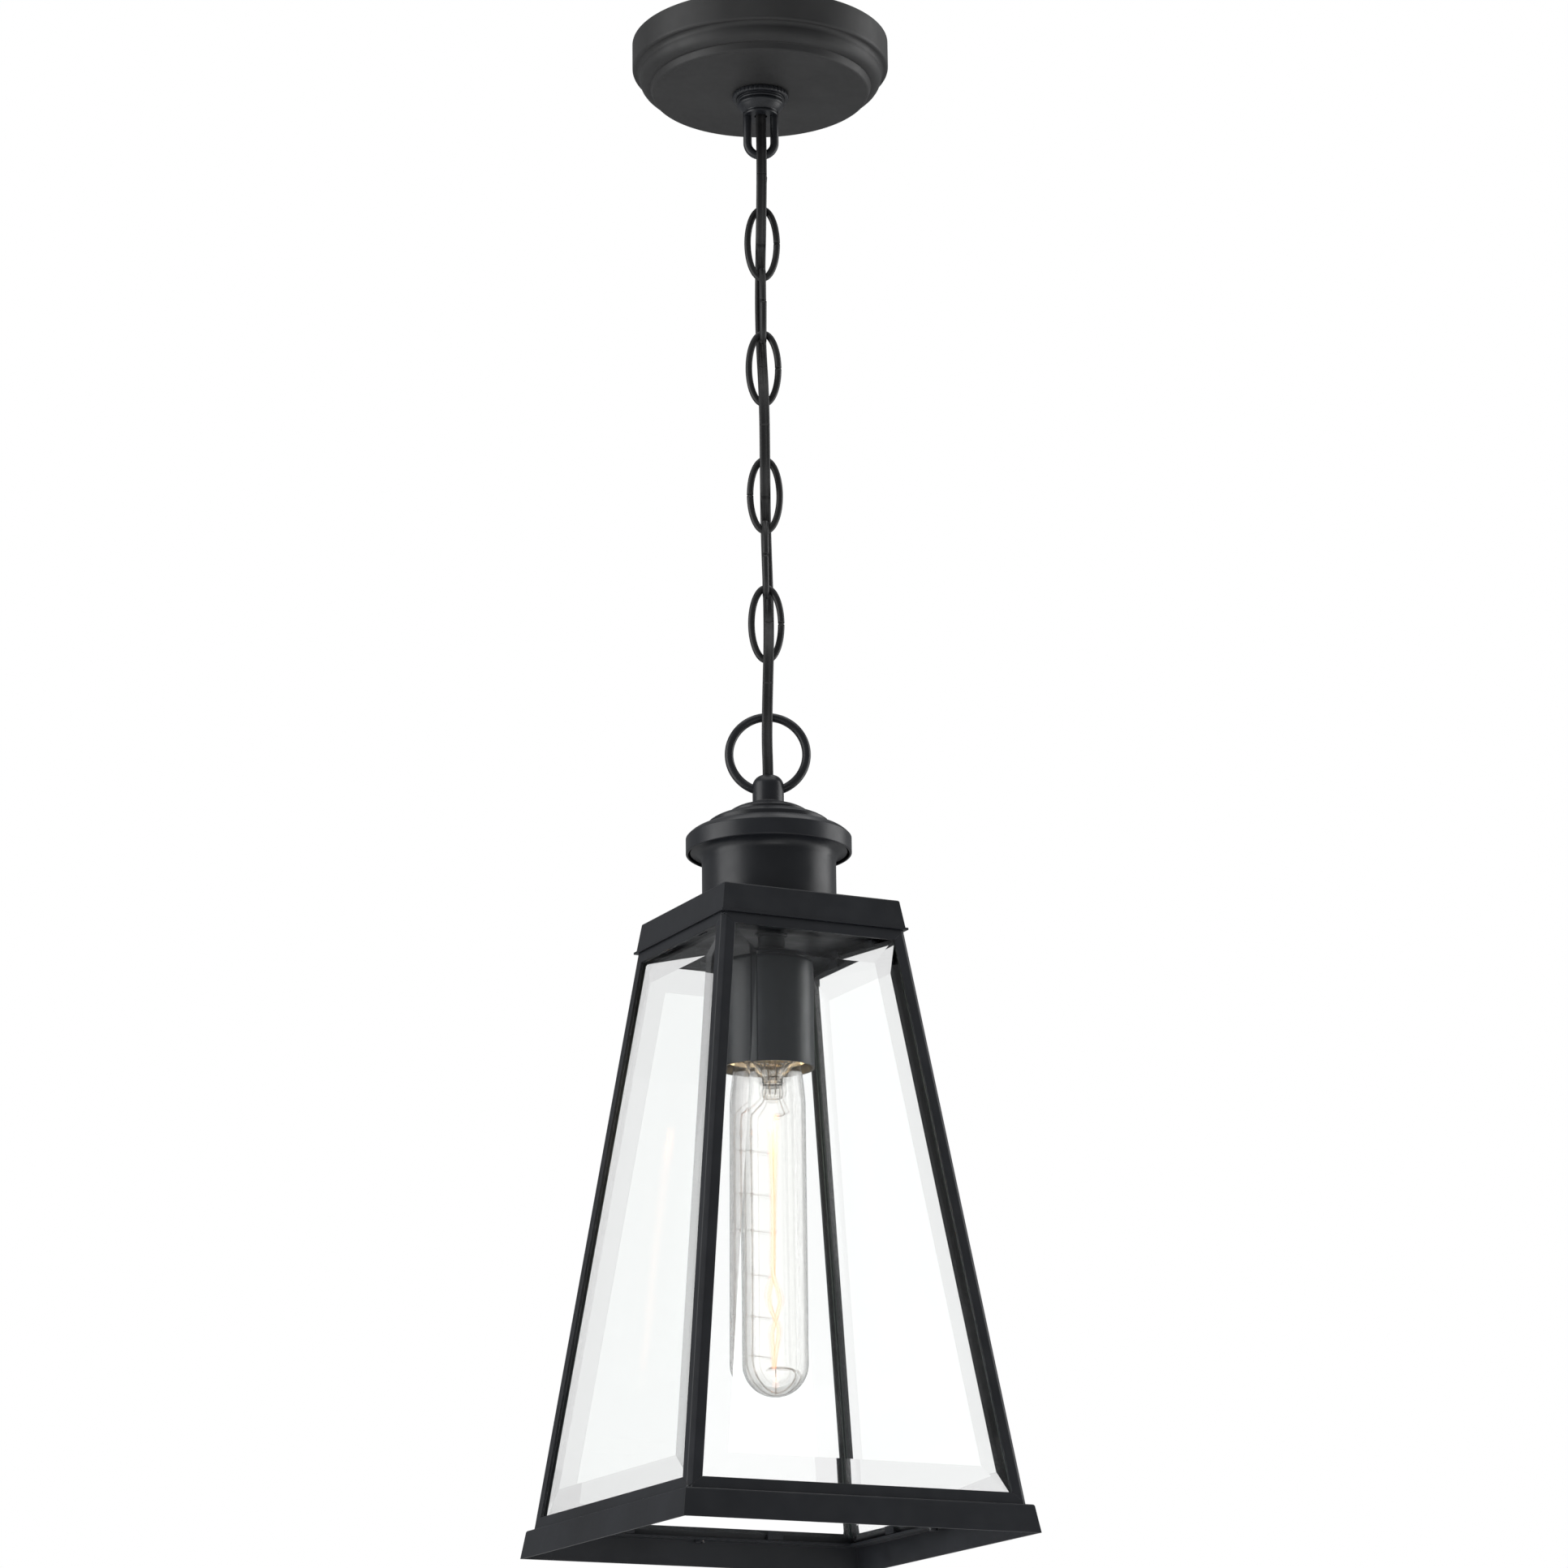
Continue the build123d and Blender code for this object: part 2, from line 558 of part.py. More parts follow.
def glazing():
    """Bevelled panels behind the rails, each held by four bent clips."""
    plane = side_plane(FRAME_BOTTOM)
    up = slope_length(ROOF_BOTTOM)
    low, high = 2.6, up - 2.6

    def half_at(y):
        return FRAME_HALF_BOTTOM + (FRAME_HALF_TOP - FRAME_HALF_BOTTOM) * y / up - GLASS_INSET

    def outline(inset, depth):
        y0, y1 = low + inset, high - inset
        corners = [(-half_at(y0) + inset, y0), (half_at(y0) - inset, y0),
                   (half_at(y1) - inset, y1), (-half_at(y1) + inset, y1)]
        return plane.offset(-depth) * make_face(Polyline(*corners, close=True))

    front = FRAME_T
    slab = extrude(outline(0, front + GLASS_T), GLASS_T - BEVEL_T)
    crown = loft([outline(0, front + BEVEL_T), outline(BEVEL_W, front)])
    panel = slab + crown
    for k, name in enumerate(("front", "right", "back", "left")):
        parts[f"glass_{name}"] = panel.rotate(Axis.Z, 90 * k)

    back = front + GLASS_T + 0.05
    clips = []
    for edge, way, reach in ((1.0, 1, 38.0), (up - 0.4, -1, 18.0)):
        foot, tip = edge + 1.4 * way, edge + 3.8 * way
        section = [(edge, front), (foot, front), (foot, back), (tip, back), (tip, back + 0.7),
                   (edge, back + 0.7)]
        for x in (-reach, reach):
            outline_3d = [plane.from_local_coords((x - 4, y, -depth)) for y, depth in section]
            face = make_face(Polyline(*outline_3d, close=True))
            clips.append(extrude(face, 8, dir=plane.x_dir))
    parts["glass_clips"] = group([c for clip in clips for c in four_sides(clip)])


def base_skirt():
    """Square flared rim under the frame, open in the middle, with a narrow ledge for the rails."""
    top, bottom = down(FRAME_BOTTOM), down(BASE_BOTTOM)
    wall = 1.2
    outer = frustum(BASE_HALF_BOTTOM, bottom, BASE_HALF_TOP, top)
    outer = fillet(outer.edges().group_by(Axis.Z)[-1], 1.1)
    inside = frustum(BASE_HALF_BOTTOM - wall, bottom - 0.01, BASE_HALF_TOP - wall, top - wall)
    mouth = Pos(0, 0, top) * Box(2 * 77.0, 2 * 77.0, 20)
    parts["base_skirt"] = outer - inside - mouth
    screws = []
    for side in (-1, 1):
        x = side * 79.4
        head = Pos(x, 0, top - wall - 0.7) * Cylinder(2.4, 1.4)
        screws.append(head - Pos(x, 0, top - wall - 1.4) * Box(5, 0.7, 0.9))
    parts["base_screws"] = group([s for screw in screws for s in (screw, screw.rotate(Axis.Z, 90))])


ceiling_hardware()
canopy_shell()
canopy_collar()
canopy_loop()
chain_links()
cord_pieces()
wire_nuts()
lantern_loop()
head_discs()
roof()
hanging_rod()
lamp_holder()
bulb()
frame()
glazing()
base_skirt()

for name, shape in parts.items():
    export_step(shape, f"parts/{name}.step")
print(len(parts), "nodes; lantern ring centre at", round(RING_Z, 2), "base at", round(down(BASE_BOTTOM), 2))
print("pivots:", [round(z, 2) for z in PIVOTS])
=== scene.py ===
"""Looks of the hanging lantern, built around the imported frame.

Shapes are drawn in millimetres in the row frame (+Z up, origin on the ceiling plane) and scaled once,
in add_mesh. The chain's own plane is turned by CHAIN_YAW about Z: there x runs across the face-on
links and y away from the viewer.
"""
import json
import math

import bmesh
import bpy
from mathutils import Matrix, Vector


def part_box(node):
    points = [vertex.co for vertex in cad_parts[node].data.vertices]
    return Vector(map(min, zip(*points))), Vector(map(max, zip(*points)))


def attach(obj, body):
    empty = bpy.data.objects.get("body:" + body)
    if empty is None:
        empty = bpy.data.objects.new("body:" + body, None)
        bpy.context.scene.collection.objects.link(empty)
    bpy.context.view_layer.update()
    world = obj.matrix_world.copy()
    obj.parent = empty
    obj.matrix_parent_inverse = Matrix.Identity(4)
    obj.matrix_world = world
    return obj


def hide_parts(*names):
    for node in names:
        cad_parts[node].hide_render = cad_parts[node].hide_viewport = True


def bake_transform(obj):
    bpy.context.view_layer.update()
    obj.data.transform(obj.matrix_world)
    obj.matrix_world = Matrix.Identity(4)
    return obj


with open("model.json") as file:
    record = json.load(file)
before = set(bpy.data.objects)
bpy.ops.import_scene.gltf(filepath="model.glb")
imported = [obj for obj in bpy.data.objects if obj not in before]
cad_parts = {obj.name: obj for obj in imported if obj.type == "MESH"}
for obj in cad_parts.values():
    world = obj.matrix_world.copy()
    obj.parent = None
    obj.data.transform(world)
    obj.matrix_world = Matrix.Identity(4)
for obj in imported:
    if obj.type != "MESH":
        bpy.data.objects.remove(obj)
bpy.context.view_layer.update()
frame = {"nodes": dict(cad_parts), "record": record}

# ---------------------------------------------------------------- driving dimensions, millimetres
MM = 0.001
CHAIN_YAW = math.radians(-26.0)
LINK_COUNT = 9
LINK_WIRE_R = 1.6
LOOP_WIRE_R = 2.05
CORD_T = 2.5
CORD_SWING = 10.3
CORD_TOP = 10.0
SHEET = 1.0


def low(node):
    """Lowest corner of a CAD node, in millimetres."""
    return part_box(node)[0] / MM


def high(node):
    """Highest corner of a CAD node, in millimetres."""
    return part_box(node)[1] / MM


def middle_z(node):
    return (low(node).z + high(node).z) / 2


LINK_MIDS = [middle_z(f"chain_link_{k + 1}") for k in range(LINK_COUNT)]
LINK_A = (high("chain_link_1").z - low("chain_link_1").z) / 2 - LINK_WIRE_R
LINK_B = 7.0
RING_R = 18.05
RING_Z = high("lantern_loop").z - RING_R - LOOP_WIRE_R
PIVOTS = [-58.0] + [(LINK_MIDS[k] - LINK_A) for k in range(LINK_COUNT)]


def down(depth):
    """Height of a point that lies so far below the ring's centre."""
    return RING_Z - depth


# ---------------------------------------------------------------- camera
CAMERA_AZIMUTH = math.radians(26.457)      # left of the lantern's front side
CAMERA_DISTANCE = 2.1545
CAMERA_HEIGHT = -0.9747
CAMERA_PITCH = math.radians(15.602)        # it looks up
CAMERA_PAN = math.radians(0.197)
CAMERA_ROLL = math.radians(-0.684)
CAMERA_LENS = 110.39


def add_camera():
    data = bpy.data.cameras.new("view")
    data.lens = CAMERA_LENS
    data.sensor_width = 36.0
    data.clip_end = 50.0
    camera = bpy.data.objects.new("view", data)
    bpy.context.scene.collection.objects.link(camera)
    heading = CAMERA_AZIMUTH + CAMERA_PAN
    forward = Vector((math.sin(heading) * math.cos(CAMERA_PITCH),
                      math.cos(heading) * math.cos(CAMERA_PITCH), math.sin(CAMERA_PITCH)))
    right = Vector((math.cos(heading), -math.sin(heading), 0))
    up = right.cross(forward)
    turned_right = right * math.cos(CAMERA_ROLL) + up * math.sin(CAMERA_ROLL)
    turned_up = up * math.cos(CAMERA_ROLL) - right * math.sin(CAMERA_ROLL)
    turn = Matrix((turned_right, turned_up, -forward)).transposed().to_4x4()
    place = Vector((-math.sin(CAMERA_AZIMUTH) * CAMERA_DISTANCE,
                    -math.cos(CAMERA_AZIMUTH) * CAMERA_DISTANCE, CAMERA_HEIGHT))
    camera.matrix_world = Matrix.Translation(place) @ turn
    bpy.context.scene.camera = camera


# ---------------------------------------------------------------- materials
class Paint:
    """One node material: a Principled shader with helpers for procedural detail."""

    def __init__(self, name, colour, roughness, metallic=0.0, **sockets):
        self.material = bpy.data.materials.new(name)
        self.material.use_nodes = True
        self.tree = self.material.node_tree
        self.shader = self.tree.nodes["Principled BSDF"]
        self.coordinates = self.tree.nodes.new("ShaderNodeTexCoord").outputs["Object"]
        self.set("Base Color", (*colour, 1.0))
        self.set("Roughness", roughness)
        self.set("Metallic", metallic)
        for socket, value in sockets.items():
            self.set(socket.replace("_", " "), value)
        self.normal = None

    def set(self, socket, value):
        self.shader.inputs[socket].default_value = value

    def link(self, output, target):
        self.tree.links.new(output, target)

    def noise(self, size, detail=3.0, stretch=(1, 1, 1)):
        """Noise whose features are about so many millimetres wide; stretch lengthens them."""
        mapping = self.tree.nodes.new("ShaderNodeMapping")
        mapping.inputs["Scale"].default_value = [1 / s for s in stretch]
        self.link(self.coordinates, mapping.inputs["Vector"])
        texture = self.tree.nodes.new("ShaderNodeTexNoise")
        texture.inputs["Scale"].default_value = 1 / (size * MM)
        texture.inputs["Detail"].default_value = detail
        self.link(mapping.outputs["Vector"], texture.inputs["Vector"])
        return texture.outputs["Fac"]

    def cells(self, size):
        texture = self.tree.nodes.new("ShaderNodeTexVoronoi")
        texture.inputs["Scale"].default_value = 1 / (size * MM)
        self.link(self.coordinates, texture.inputs["Vector"])
        return texture

    def ramp(self, value, stops):
        """Colour or grey ramp from (place, colour) stops."""
        node = self.tree.nodes.new("ShaderNodeValToRGB")
        elements = node.color_ramp.elements
        while len(elements) < len(stops):
            elements.new(0.5)
        for element, (place, colour) in zip(elements, stops):
            element.position = place
            element.color = (*colour, 1.0)
        self.link(value, node.inputs["Fac"])
        return node.outputs["Color"]

    def span(self, value, start, end, source=(0.3, 0.7)):
        """Map a value from its source range to start..end."""
        node = self.tree.nodes.new("ShaderNodeMapRange")
        node.inputs["From Min"].default_value = source[0]
        node.inputs["From Max"].default_value = source[1]
        node.inputs["To Min"].default_value = start
        node.inputs["To Max"].default_value = end
        self.link(value, node.inputs["Value"])
        return node.outputs["Result"]

    def colour_from(self, value, stops):
        self.link(self.ramp(value, stops), self.shader.inputs["Base Color"])
        return self

    def roughness_from(self, value, start, end):
        self.link(self.span(value, start, end), self.shader.inputs["Roughness"])
        return self

    def bump(self, value, strength, height):
        """Add relief so many millimetres high on top of what is there."""
        node = self.tree.nodes.new("ShaderNodeBump")
        node.inputs["Strength"].default_value = strength
        node.inputs["Distance"].default_value = height * MM
        self.link(value, node.inputs["Height"])
        if self.normal:
            self.link(self.normal, node.inputs["Normal"])
        self.normal = node.outputs["Normal"]
        self.link(self.normal, self.shader.inputs["Normal"])
        return self

    def clear_to_lamps(self):
        """Let lamp light pass straight through, as thin clear glass does."""
        mix = self.tree.nodes.new("ShaderNodeMixShader")
        path = self.tree.nodes.new("ShaderNodeLightPath")
        clear = self.tree.nodes.new("ShaderNodeBsdfTransparent")
        clear.inputs["Color"].default_value = (0.93, 0.95, 0.94, 1.0)
        self.link(path.outputs["Is Shadow Ray"], mix.inputs["Fac"])
        self.link(self.shader.outputs["BSDF"], mix.inputs[1])
        self.link(clear.outputs["BSDF"], mix.inputs[2])
        self.link(mix.outputs["Shader"], self.tree.nodes["Material Output"].inputs["Surface"])
        return self


def enamel(name, colour, roughness, grain, blotch=0.25):
    """Sprayed enamel: orange peel, faint clouding of colour and gloss, fine grain."""
    paint = Paint(name, colour, roughness, Specular_IOR_Level=0.5)
    cloud = paint.noise(38.0)
    dark = tuple(c * (1 - blotch) for c in colour)
    light = tuple(c * (1 + blotch) for c in colour)
    paint.colour_from(cloud, [(0.3, dark), (0.7, light)])
    paint.roughness_from(paint.noise(9.0), roughness - 0.05, roughness + 0.06)
    paint.bump(paint.noise(2.2, 2.0), 0.25, 0.012)
    return paint.bump(paint.noise(grain, 2.0), 0.35, 0.01)


def build_materials():
    made = {}
    made["black_paint"] = enamel("black_enamel", (0.0150, 0.0166, 0.0205), 0.34, 0.32)
    made["charcoal_paint"] = enamel("charcoal_enamel", (0.0300, 0.0300, 0.0305), 0.50, 0.42)
    made["chain_paint"] = enamel("chain_enamel", (0.0155, 0.0155, 0.0160), 0.40, 0.28, 0.35)

    cord = Paint("cord_jacket", (0.018, 0.018, 0.018), 0.42)
    cord.colour_from(cord.noise(14.0), [(0.3, (0.014, 0.014, 0.014)), (0.7, (0.024, 0.024, 0.025))])
    cord.roughness_from(cord.noise(4.0), 0.34, 0.50)
    cord.bump(cord.noise(0.5, 3.0, (1, 1, 6)), 0.3, 0.015)
    made["cord_jacket"] = cord

    brass = Paint("brass", (0.80, 0.56, 0.22), 0.24, 1.0)
    brass.colour_from(brass.noise(5.0), [(0.3, (0.72, 0.47, 0.17)), (0.7, (0.86, 0.63, 0.28))])
    brass.roughness_from(brass.noise(1.2, 4.0), 0.22, 0.38)
    made["brass"] = brass.bump(brass.noise(0.4), 0.2, 0.01)

    zinc = Paint("zinc_plate", (0.56, 0.57, 0.58), 0.34, 1.0)
    spangle = zinc.cells(3.5)
    zinc.colour_from(spangle.outputs["Color"], [(0.2, (0.46, 0.47, 0.48)), (0.8, (0.62, 0.63, 0.65))])
    zinc.roughness_from(zinc.noise(2.0), 0.26, 0.44)
    made["zinc_steel"] = zinc.bump(zinc.noise(0.6, 3.0, (8, 1, 1)), 0.2, 0.01)

    green = Paint("green_dye", (0.03, 0.26, 0.07), 0.34, 0.7)
    green.colour_from(green.noise(1.6), [(0.3, (0.02, 0.20, 0.05)), (0.7, (0.05, 0.32, 0.10))])
    made["green_screw"] = green.bump(green.noise(0.4), 0.2, 0.01)

    solder = Paint("solder", (0.60, 0.60, 0.61), 0.42, 1.0)
    solder.roughness_from(solder.noise(0.8), 0.3, 0.55)
    made["solder"] = solder.bump(solder.noise(1.0, 2.0), 0.5, 0.05)

    china = Paint("porcelain", (0.80, 0.74, 0.62), 0.30, Coat_Weight=0.6, Coat_Roughness=0.08)
    china.colour_from(china.noise(3.0), [(0.35, (0.76, 0.69, 0.56)), (0.65, (0.84, 0.79, 0.68))])
    made["porcelain"] = china.bump(china.noise(0.9), 0.15, 0.02)

    vitrite = Paint("vitrite", (0.012, 0.012, 0.016), 0.12, Coat_Weight=0.5)
    made["black_glass"] = vitrite.bump(vitrite.noise(1.5), 0.2, 0.02)

    nut = Paint("orange_nylon", (0.80, 0.24, 0.03), 0.45)
    nut.colour_from(nut.noise(4.0), [(0.3, (0.72, 0.20, 0.02)), (0.7, (0.86, 0.29, 0.05))])
    made["wire_nut"] = nut.bump(nut.noise(0.5), 0.25, 0.02)

    wire = Paint("support_wire", (0.60, 0.53, 0.48), 0.28, 1.0)
    wire.colour_from(wire.noise(2.5), [(0.3, (0.40, 0.34, 0.30)), (0.7, (0.76, 0.64, 0.55))])
    made["support_wire"] = wire.bump(wire.noise(0.3), 0.2, 0.005)

    panel = Paint("panel_glass", (0.985, 0.995, 0.99), 0.0, Transmission_Weight=1.0, IOR=1.46,
                  Specular_IOR_Level=0.5)
    made["panel_glass"] = panel.bump(panel.noise(60.0, 1.0), 0.04, 0.02).clear_to_lamps()

    # bevel glass: clear and polished, tinted grey as painted shade for the darker band that the bevel shows
    painted_grey_bevel = Paint("bevel_painted_grey", (0.775, 0.77, 0.775), 0.02, Transmission_Weight=1.0, IOR=1.46)
    made["bevel"] = painted_grey_bevel.bump(painted_grey_bevel.noise(30.0, 1.0), 0.05, 0.02).clear_to_lamps()

    edge = Paint("glass_edge", (0.030, 0.045, 0.040), 0.2)
    edge.colour_from(edge.noise(6.0), [(0.3, (0.022, 0.034, 0.030)), (0.7, (0.040, 0.058, 0.052))])
    made["glass_edge"] = edge.bump(edge.noise(1.5), 0.1, 0.02)

    bulb = Paint("lamp_glass", (0.975, 0.965, 0.95), 0.0, Transmission_Weight=1.0, IOR=1.38)
    bulb.set("Alpha", 0.6)
    made["lamp_glass"] = bulb.bump(bulb.noise(24.0, 1.0, (1, 1, 3)), 0.05, 0.02).clear_to_lamps()

    press = Paint("press_glass", (0.95, 0.94, 0.92), 0.04, Transmission_Weight=1.0, IOR=1.5)
    made["press_glass"] = press.bump(press.noise(1.8), 0.4, 0.08).clear_to_lamps()

    glow = Paint("filament", (0.20, 0.15, 0.12), 0.5)
    glow.set("Emission Color", (1.0, 0.80, 0.72, 1.0))
    glow.set("Emission Strength", 1.6)
    made["filament"] = glow.bump(glow.noise(0.3), 0.2, 0.02)

    halo = Paint("filament_glow", (0.95, 0.45, 0.20), 0.6)
    halo.set("Alpha", 0.36)
    halo.set("Emission Color", (1.0, 0.50, 0.32, 1.0))
    halo.set("Emission Strength", 0.8)
    made["glow"] = halo
    return {name: paint.material for name, paint in made.items()}


MATERIALS = build_materials()


# ---------------------------------------------------------------- mesh helpers
def add_mesh(name, verts, faces, materials, face_materials=None, smooth=True):
    """New object from points in millimetres."""
    mesh = bpy.data.meshes.new(name)
    mesh.from_pydata([Vector(v) * MM for v in verts], [], faces)
    piece = bpy.data.objects.new(name, mesh)
    bpy.context.scene.collection.objects.link(piece)
    for key in materials if isinstance(materials, (list, tuple)) else [materials]:
        mesh.materials.append(MATERIALS[key])
    if face_materials:
        mesh.polygons.foreach_set("material_index", face_materials)
    work = bmesh.new()
    work.from_mesh(mesh)
    bmesh.ops.remove_doubles(work, verts=work.verts, dist=1e-7)
    bmesh.ops.recalc_face_normals(work, faces=work.faces)
    work.to_mesh(mesh)
    work.free()
    mesh.polygons.foreach_set("use_smooth", [smooth] * len(mesh.polygons))
    return piece


def soften(piece, width=0.25, angle=28.0, segments=3):
    """Round the sharp edges by so many millimetres and keep flat faces flat."""
    bevel = piece.modifiers.new("edges", "BEVEL")
    bevel.width = width * MM
    bevel.segments = segments
    bevel.limit_method = "ANGLE"
    bevel.angle_limit = math.radians(angle)
    bevel.use_clamp_overlap = True
    bevel.harden_normals = False
    weight = piece.modifiers.new("normals", "WEIGHTED_NORMAL")
    weight.keep_sharp = True
    return piece


def place(piece, body, slot, *replaced):
    """Ride on a body and stand for CAD nodes. The slot, a finish's name, is not used."""
    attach(piece, body)
    if replaced:
        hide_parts(*replaced)
    return piece


def in_chain_plane(verts):
    turn = Matrix.Rotation(CHAIN_YAW, 3, "Z")
    return [turn @ Vector(v) for v in verts]


def three_point_arc(a, b, c, steps):
    """Points of the arc from a through b to c, without a."""
    (ax, ay), (bx, by), (cx, cy) = a, b, c
    d = 2 * (ax * (by - cy) + bx * (cy - ay) + cx * (ay - by))
    if abs(d) < 1e-9:
        return [b, c]
    ux = ((ax**2 + ay**2) * (by - cy) + (bx**2 + by**2) * (cy - ay) + (cx**2 + cy**2) * (ay - by)) / d
    uy = ((ax**2 + ay**2) * (cx - bx) + (bx**2 + by**2) * (ax - cx) + (cx**2 + cy**2) * (bx - ax)) / d
    radius = math.hypot(ax - ux, ay - uy)
    start, mid, end = (math.atan2(y - uy, x - ux) for x, y in (a, b, c))
    turn = (end - start) % (2 * math.pi)
    if (mid - start) % (2 * math.pi) > turn:
        turn -= 2 * math.pi
    angles = [start + turn * k / steps for k in range(1, steps + 1)]
    return [(ux + radius * math.cos(t), uy + radius * math.sin(t)) for t in angles]


def outline(items, steps=7):
    """Points of an outline; an item that holds two corners is an arc through the first to the second."""
    points = [items[0]]
    for item in items[1:]:
        if isinstance(item[0], tuple):
            points += three_point_arc(points[-1], item[0], item[1], steps)
        else:
            points.append(item)
    return points


def lathe(name, items, materials, segments=128, ripple=None, steps=7):
    """Closed solid of revolution about Z from (radius, height) corners.

    ripple(radius, height, angle) may change the radius, for knurls and threads.
    """
    profile = outline(items, steps)
    verts, faces = [], []
    for k in range(segments):
        angle = 2 * math.pi * k / segments
        for radius, height in profile:
            r = ripple(radius, height, angle) if ripple and radius > 0 else radius
            verts.append((r * math.cos(angle), r * math.sin(angle), height))
    count = len(profile)
    for k in range(segments):
        here, there = k * count, (k + 1) % segments * count
        for i in range(count):
            j = (i + 1) % count
            if profile[i][0] == 0 and profile[j][0] == 0:
                continue
            corners = [here + i, there + i, there + j, here + j]
            if profile[i][0] == 0:
                corners = [here + i, there + j, here + j]
            elif profile[j][0] == 0:
                corners = [here + i, there + i, here + j]
            faces.append(corners)
    return add_mesh(name, verts, faces, materials)


def loft(rings, closed=False, caps=True):
    """Verts and faces through rings of equal count."""
    count = len(rings[0])
    verts = [v for ring in rings for v in ring]
    faces = []
    for k in range(len(rings) if closed else len(rings) - 1):
        here, there = k * count, (k + 1) % len(rings) * count
        for i in range(count):
            j = (i + 1) % count
            faces.append((here + i, here + j, there + j, there + i))
    if caps and not closed:
        faces.append(tuple(range(count))[::-1])
        faces.append(tuple(range((len(rings) - 1) * count, len(rings) * count)))
    return verts, faces


def sweep(points, section, across, closed=False):
    """Rings of a section (u, v) along points; u follows the vector across, kept square to the path."""
    rings = []
    count = len(points)
    for i, point in enumerate(points):
        before = points[i - 1] if i > 0 or closed else points[0]
        after = points[(i + 1) % count] if i < count - 1 or closed else points[-1]
        tangent = (after - before).normalized()
        u = (across - tangent * across.dot(tangent)).normalized()
        v = tangent.cross(u)
        rings.append([point + u * a + v * b for a, b in section])
    return rings


def circle(radius, count):
    return [(radius * math.cos(2 * math.pi * k / count), radius * math.sin(2 * math.pi * k / count))
            for k in range(count)]


def round_wire(name, points, radius, materials, across=(0.3, 1, 0.1), sides=14, closed=False, taper=True):
    """Wire along points, with rounded ends."""
    points = [Vector(p) for p in points]
    rings = sweep(points, circle(radius, sides), Vector(across), closed)
    if taper and not closed:
        rings = round_end(rings[::-1], points[::-1])[::-1]
        rings = round_end(rings, points)
    verts, faces = loft(rings, closed)
    return add_mesh(name, verts, faces, materials)


def round_end(rings, points, share=0.55):
    """Add a smaller last ring, so that the wire ends in a small dome."""
    centre = points[-1]
    ahead = (points[-1] - points[-2]).normalized()
    radius = (rings[-1][0] - centre).length
    last = [centre + ahead * radius * 0.3 + (p - centre) * 0.8 for p in rings[-1]]
    tip = [centre + ahead * radius * 0.45 + (p - centre) * share * 0.7 for p in rings[-1]]
    return rings + [last, tip]


def smooth_points(corners, steps=8):
    """Catmull-Rom points through a few corners."""
    corners = [Vector(c) for c in corners]
    padded = [corners[0] * 2 - corners[1]] + corners + [corners[-1] * 2 - corners[-2]]
    points = []
    for a, b, c, d in zip(padded, padded[1:], padded[2:], padded[3:]):
        for k in range(steps):
            t = k / steps
            points.append(0.5 * (2 * b + (c - a) * t + (2 * a - 5 * b + 4 * c - d) * t**2
                                 + (3 * b - a - 3 * c + d) * t**3))
    return points + [corners[-1]]


def joined(name, parts):
    """Join several new objects into the first and rename it."""
    bpy.ops.object.select_all(action="DESELECT")
    for part in parts:
        part.select_set(True)
    bpy.context.view_layer.objects.active = parts[0]
    bpy.ops.object.join()
    parts[0].name = name
    return parts[0]


def refined(node, body, slot, width=0.25, angle=30.0, segments=2):
    """Stand-in for a flat-sided CAD node: its own faces as clean polygons, with softened edges."""
    mesh = frame["nodes"][node].data.copy()
    mesh.name = node + "_made"
    piece = bpy.data.objects.new(node + "_made", mesh)
    bpy.context.scene.collection.objects.link(piece)
    mesh.materials.clear()
    mesh.materials.append(MATERIALS[slot])
    work = bmesh.new()
    work.from_mesh(mesh)
    bmesh.ops.remove_doubles(work, verts=work.verts, dist=1e-6)
    bmesh.ops.dissolve_limit(work, angle_limit=math.radians(0.6), verts=work.verts, edges=work.edges)
    bmesh.ops.recalc_face_normals(work, faces=work.faces)
    work.to_mesh(mesh)
    work.free()
    mesh.polygons.foreach_set("material_index", [0] * len(mesh.polygons))
    mesh.polygons.foreach_set("use_smooth", [True] * len(mesh.polygons))
    soften(piece, width, angle, segments)
    return place(piece, body, slot, node)


# ---------------------------------------------------------------- ceiling hardware and canopy
CANOPY_R = high("canopy").x
CANOPY_LOW = low("canopy").z
THREAD_R = 11.6
HUB_LOW = -37.6
LOOP_HALF_W = 6.5
HUB_BORE = 3.05
COLLAR_R = 13.6


def make_canopy():
    band, face, floor = CANOPY_R, CANOPY_R - 10.3, CANOPY_LOW
    outer = [
        (band, 0.0), (band, -12.6), ((band - 0.5, -13.9), (band - 1.8, -14.3)),
        ((band - 2.8, -15.0), (band - 3.4, -16.6)), ((band - 4.4, -20.6), (band - 7.4, -22.6)),
        (band - 8.4, -22.6), (face + 1.1, floor + 1.6), ((face + 0.5, floor + 0.4), (face - 0.9, floor)),
        (THREAD_R + 0.5, floor),
    ]
    inner = [
        (THREAD_R + 0.5, floor + SHEET), (face - 1.2, floor + SHEET), (face + 0.4, -21.4),
        (band - 7.8, -21.4), ((band - 5.3, -19.9), (band - 4.5, -16.4)),
        ((band - 3.8, -14.2), (band - 1.7, -13.2)), (band - SHEET, -12.2), (band - SHEET, 0.0),
    ]
    canopy = lathe("canopy_spun", outer + inner, "charcoal_paint", 192)
    place(soften(canopy, 0.22), "canopy", "charcoal_paint", "canopy")


